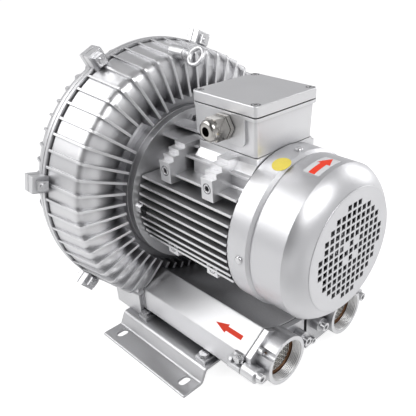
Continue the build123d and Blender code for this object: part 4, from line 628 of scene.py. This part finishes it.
def grid_mesh(name, rows):
    """Mesh of a grid of points: rows of equal length."""
    width = len(rows[0])
    faces = []
    for r in range(len(rows) - 1):
        for c in range(width - 1):
            start = r * width + c
            faces.append((start, start + 1, start + width + 1, start + width))
    return mesh_of(name, [p for row in rows for p in row], faces)


def port_thread(name, side):
    """The thread of the left (-1) or right (1) port."""
    length = thread_end_y - port_mouth_y - 2 * mouth_gap
    count = int(length / thread_pitch * rows_per_turn)
    rows = []
    for r in range(count + 1):
        y = port_mouth_y + mouth_gap + length * r / count
        depth = thread_depth * min(1.0, r / fading_rows)
        row = []
        for c in range(steps_round + 1):
            turn = c / steps_round
            wave = 0.5 + 0.5 * math.cos(2 * math.pi * ((y - port_mouth_y) / thread_pitch - turn))
            radius = bore_radius - wall_gap - depth * wave
            x = side * port_x + radius * math.cos(2 * math.pi * turn)
            row.append((x, y, port_height + radius * math.sin(2 * math.pi * turn)))
        rows.append(row)
    piece = add_piece(name, grid_mesh(name, rows), "thread")
    print(name, len(piece.data.vertices), "points")


port_thread("thread_left", -1)
port_thread("thread_right", 1)

# %% [markdown]
# ## Woven screens
# Behind each thread a disc of woven wire keeps dirt out of the silencer. A flat grid of holes
# would look like punched sheet, so each wire is a thin tube that rises and dips over the ones it
# crosses. The two directions are half a wave apart, as in cloth. The solids have a plain disc
# there, and the screens take its place.

# %% One wire
wire_radius = 0.55 * MM
wire_pitch = 3.8 * MM
wire_sides = 5
screen_play = 0.5 * MM
screen_radius = bore_radius - screen_play
screen_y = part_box("port_screens")[0].y + screen_play


def wire_points(offset, phase, along_x, centre):
    """Middle line of a wire across the screen, high and low by turns."""
    half = math.sqrt(max(screen_radius**2 - offset**2, 0))
    count = max(int(2 * half / (wire_pitch / 2)), 2)
    points = []
    for k in range(count + 1):
        t = -half + 2 * half * k / count
        lift = wire_radius * math.cos(math.pi * (t / wire_pitch + phase))
        x, z = (t, offset) if along_x else (offset, t)
        points.append(centre + Vector((x, lift, z)))
    return points


def tube(bm, points, radius):
    """Adds a thin tube along the points."""
    rings = []
    for k, point in enumerate(points):
        ahead = points[min(k + 1, len(points) - 1)] - points[max(k - 1, 0)]
        side = ahead.cross(Vector((0, 1, 0))).normalized()
        up = side.cross(ahead).normalized()
        arms = [radius * (math.cos(a) * side + math.sin(a) * up) for a in circle(wire_sides)]
        rings.append([bm.verts.new(point + arm) for arm in arms])
    for first, second in zip(rings, rings[1:]):
        for s in range(wire_sides):
            t = (s + 1) % wire_sides
            bm.faces.new((first[s], first[t], second[t], second[s]))


print("longest wire", round(2 * screen_radius / MM, 1), "mm")


# %% Weaving the screens
def mesh_from(bm, name):
    """Turns what was built into a mesh."""
    mesh = bpy.data.meshes.new(name)
    bm.to_mesh(mesh)
    bm.free()
    return mesh


def woven_screen(name, side):
    """The screen of the left (-1) or right (1) port."""
    bm = bmesh.new()
    centre = Vector((side * port_x, screen_y, port_height))
    count = int(screen_radius / wire_pitch)
    for k in range(-count, count + 1):
        for along_x in (True, False):
            phase = k + (0 if along_x else 1)
            tube(bm, wire_points(k * wire_pitch, phase, along_x, centre), wire_radius)
    piece = add_piece(name, mesh_from(bm, name), "screen")
    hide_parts("port_screens")
    print(name, len(piece.data.polygons), "faces")


woven_screen("screen_left", -1)
woven_screen("screen_right", 1)

# %% [markdown]
# ## Decals on the cowl
# Two thin films lie on the cowl's paint: a round yellow disc, and a pale label whose red arrow
# shows the way the fan turns. They could be textures, but a film of its own keeps a sharp edge in
# any picture. They bend with the sheet, so their outlines are drawn flat, cut into strips narrow
# enough to bend, and wrapped on the cowl point by point.

# %% A film that bends
strip_width = 1.5


def filled(outline, step):
    """Fills an outline in millimetres with strips of a width."""
    bm = bmesh.new()
    bm.faces.new([bm.verts.new((x, y, 0)) for x, y in outline])
    low = min(x for x, _ in outline)
    high = max(x for x, _ in outline)
    cut = low + step
    while cut < high:
        bmesh.ops.bisect_plane(
            bm,
            geom=bm.verts[:] + bm.edges[:] + bm.faces[:],
            plane_co=(cut, 0, 0),
            plane_no=(1, 0, 0),
        )
        cut += step
    return bm


def wrapped(name, outline, radius, angle, y, finish):
    """Film on the cowl: the outline's x runs round the shaft towards +X, its y along -Y."""
    bm = filled(outline, strip_width)
    for vert in bm.verts:
        turn = math.radians(angle) - vert.co.x * MM / radius
        along = y - vert.co.y * MM
        height = shaft_height + radius * math.cos(turn)
        vert.co = Vector((-radius * math.sin(turn), along, height))
    bmesh.ops.recalc_face_normals(bm, faces=bm.faces[:])
    piece = add_piece(name, mesh_from(bm, name), finish)
    print(name, len(piece.data.polygons), "faces")


print("films bend in strips of", strip_width, "mm")

# %% The disc and the label
film = 0.12 * MM
disc_radius = 11.2
disc_angle = 19.5
disc_y = -141.0 * MM
label_radius = 98.4 * MM
label_angle = 5.5
label_y = -179.0 * MM
disc = [(disc_radius * math.cos(a), disc_radius * math.sin(a)) for a in circle(48)]
plate = [(-21, -11), (21, -11), (21, 11), (-21, 11)]
arrow = [(-20, -4.2), (2, -4.2), (2, -8.5), (20, 0), (2, 8.5), (2, 4.2), (-20, 4.2)]
wrapped("round_film", disc, cowl_band_radius + film, disc_angle, disc_y, "yellow_film")
wrapped("turn_label", plate, label_radius + film, label_angle, label_y, "pale_film")
wrapped("turn_arrow", arrow, label_radius + 2 * film, label_angle, label_y, "red_film")

# %% [markdown]
# ## Arrow on the silencer
# A red arrow on the left silencer shows where the air flows. It lies on the sloping shoulder,
# which is flat, so the outline needs no strips. Each point is placed by two directions: along the
# machine, and up the slope.

# %% Flow arrow
shoulder_low = Vector((-0.108, 0, 0.072))
shoulder_high = Vector((-0.074, 0, 0.0951))
arrow_up_slope = 16.5 * MM
flow_tail_y = -0.132
flow_length = 48
lower_half = [(0, -3.2), (27, -3.2), (27, -6.3), (flow_length, 0)]
flow_arrow = lower_half + [(27, 6.3), (27, 3.2), (0, 3.2)]
up_slope = (shoulder_high - shoulder_low).normalized()
outward = Vector((-up_slope.z, 0, up_slope.x))
base = shoulder_low + up_slope * arrow_up_slope + outward * film
bm = filled(flow_arrow, flow_length)
for vert in bm.verts:
    along = flow_tail_y + vert.co.x * MM
    vert.co = base + up_slope * vert.co.y * MM + Vector((0, along, 0))
add_piece("flow_arrow", mesh_from(bm, "flow_arrow"), "red_film")
print("flow arrow", flow_length, "mm long")

# %% [markdown]
# ## The darker side of the room
# Silver paint shows what it mirrors more than its own colour, so a machine in an even white room
# would look flat. A studio therefore has a darker side, often a black cloth. Here it is a soft
# dark band in what reflections see, to the left of the machine, in the floor and in the surround
# alike. The floor has a second dark patch in front. A real cloth in the scene would show in the
# picture and throw shade, so the bands are masks in the shaders instead.

# %% A dark band
band_angle = 195.2
front_angle = 240.0
soft_share = 0.6
soft_end = 4


def dark_band(tree, place, angle, half_width, near):
    """1 in a dark band and 0 elsewhere, from a place on the floor or a direction in the sky."""
    way = (math.cos(math.radians(angle)), math.sin(math.radians(angle)), 0.0)
    sideways = tree.along(place, (-way[1], way[0], 0.0)).size()
    width = ((half_width - sideways) * (1 / (soft_share * half_width))).clamped()
    return width * ((tree.along(place, way) - near) * soft_end).clamped()


print("dark bands towards", band_angle, "and", front_angle, "degrees")

# %% [markdown]
# ## Floor
# The floor is a large sheet of pale paper. The camera has to see it as plain white with the
# machine's shadow on it, while the paint has to mirror it darker, or every underside would be
# white. A Light Path node tells the two kinds of ray apart, so the paper glows a little more for
# the camera than for a reflection.

# %% Floor
floor_half = 6.0
floor_glow = 0.08
camera_glow = 0.74
mirror_glow = 0.42
band_drop = 0.36
corners = [(-1, -1), (1, -1), (1, 1), (-1, 1)]
floor_points = [(x * floor_half, y * floor_half, 0) for x, y in corners]
floor = bpy.data.objects.new("floor", mesh_of("floor", floor_points, [(0, 1, 2, 3)]))
scene.collection.objects.link(floor)
paper = Finish("floor_paper", (0.50, 0.50, 0.50), 0.9, 0.0)
seen = paper.node("ShaderNodeLightPath", output="Is Camera Ray")
mirrored = paper.node("ShaderNodeLightPath", output="Is Glossy Ray")
band = dark_band(paper, paper.place, band_angle, half_width=0.45, near=0.35)
front = dark_band(paper, paper.place, front_angle, half_width=0.30, near=0.20)
in_mirror = (mirror_glow - band * band_drop - front * mirror_glow).clamped()
glow = floor_glow + seen * camera_glow + mirrored * in_mirror
glow_colour = paper.colour_mix(glow, (0.0, 0.0, 0.0, 1.0), (1.0, 1.0, 1.0, 1.0))
paper.shader.inputs["Emission Strength"].default_value = 1.0
paper.feed(paper.shader.inputs["Emission Color"], glow_colour)
floor.data.materials.append(paper.material)
print("floor", len(paper.tree.nodes), "nodes")

# %% [markdown]
# ## Lamps
# The picture is a studio one with broad soft light. A lamp behind on the left lights the flank of
# the casing, one in front and above lights the cowl and the port, and a weak one on the right
# fills the shade. Points or spots would give hard shadows, so all three are area lamps.

# %% Lamps
middle_of_machine = Vector((-0.05, -0.05, 0.2))


def lamp(name, place, size, power):
    """A broad lamp that looks at the machine."""
    light = bpy.data.lights.new(name, "AREA")
    light.shape = "RECTANGLE"
    light.size, light.size_y = size
    light.energy = power
    lamp_object = bpy.data.objects.new(name, light)
    lamp_object.location = place
    lamp_object.rotation_euler = turned_to(Vector(place), middle_of_machine)
    scene.collection.objects.link(lamp_object)
    print(name, "lamp,", power, "W")


lamp("back_left", (-1.05, 0.95, 1.35), (1.7, 1.3), 15.0)
lamp("front_top", (-0.25, -1.15, 1.55), (1.2, 0.8), 14.0)
lamp("right", (1.6, -0.5, 0.9), (0.8, 1.2), 6.0)

# %% [markdown]
# ## Surround
# The surround is the room itself. One background would have to be white for the camera, grey for
# soft light and graded for reflections, which no single value can be. So there are three, and
# Light Path nodes choose among them. The one for reflections gets darker towards the ceiling and
# has the dark band.

# %% Surround
plain_light = (0.38, 0.38, 0.39, 1.0)
white = (1.0, 1.0, 1.0, 1.0)
horizon_level = 0.62
zenith_drop = 0.34
band_share = 0.8
world = bpy.data.worlds.new("studio")
scene.world = world
world.use_nodes = True
sky = Tree(world.node_tree)
way = sky.node("ShaderNodeTexCoord", output="Generated")
height = sky.along(way, (0.0, 0.0, 1.0)).clamped()
band = dark_band(sky, way, band_angle, half_width=0.5, near=0.1)
level = (horizon_level - zenith_drop * height) * (1 - band_share * band)
mirror = sky.colour_mix(level, (0.0, 0.0, 0.0, 1.0), (1.0, 1.0, 1.02, 1.0))
rooms = [
    sky.node("ShaderNodeBackground", None, {"Color": colour})
    for colour in (plain_light, mirror, white)
]
glossy = sky.node("ShaderNodeLightPath", output="Is Glossy Ray")
from_camera = sky.node("ShaderNodeLightPath", output="Is Camera Ray")
lit = sky.node("ShaderNodeMixShader", None, {0: glossy, 1: rooms[0], 2: rooms[1]})
shown = sky.node("ShaderNodeMixShader", None, {0: from_camera, 1: lit, 2: rooms[2]})
sky.feed(sky.tree.nodes["World Output"].inputs["Surface"], shown)
scene.view_settings.view_transform = "Standard"
print("surround", len(sky.tree.nodes), "nodes")
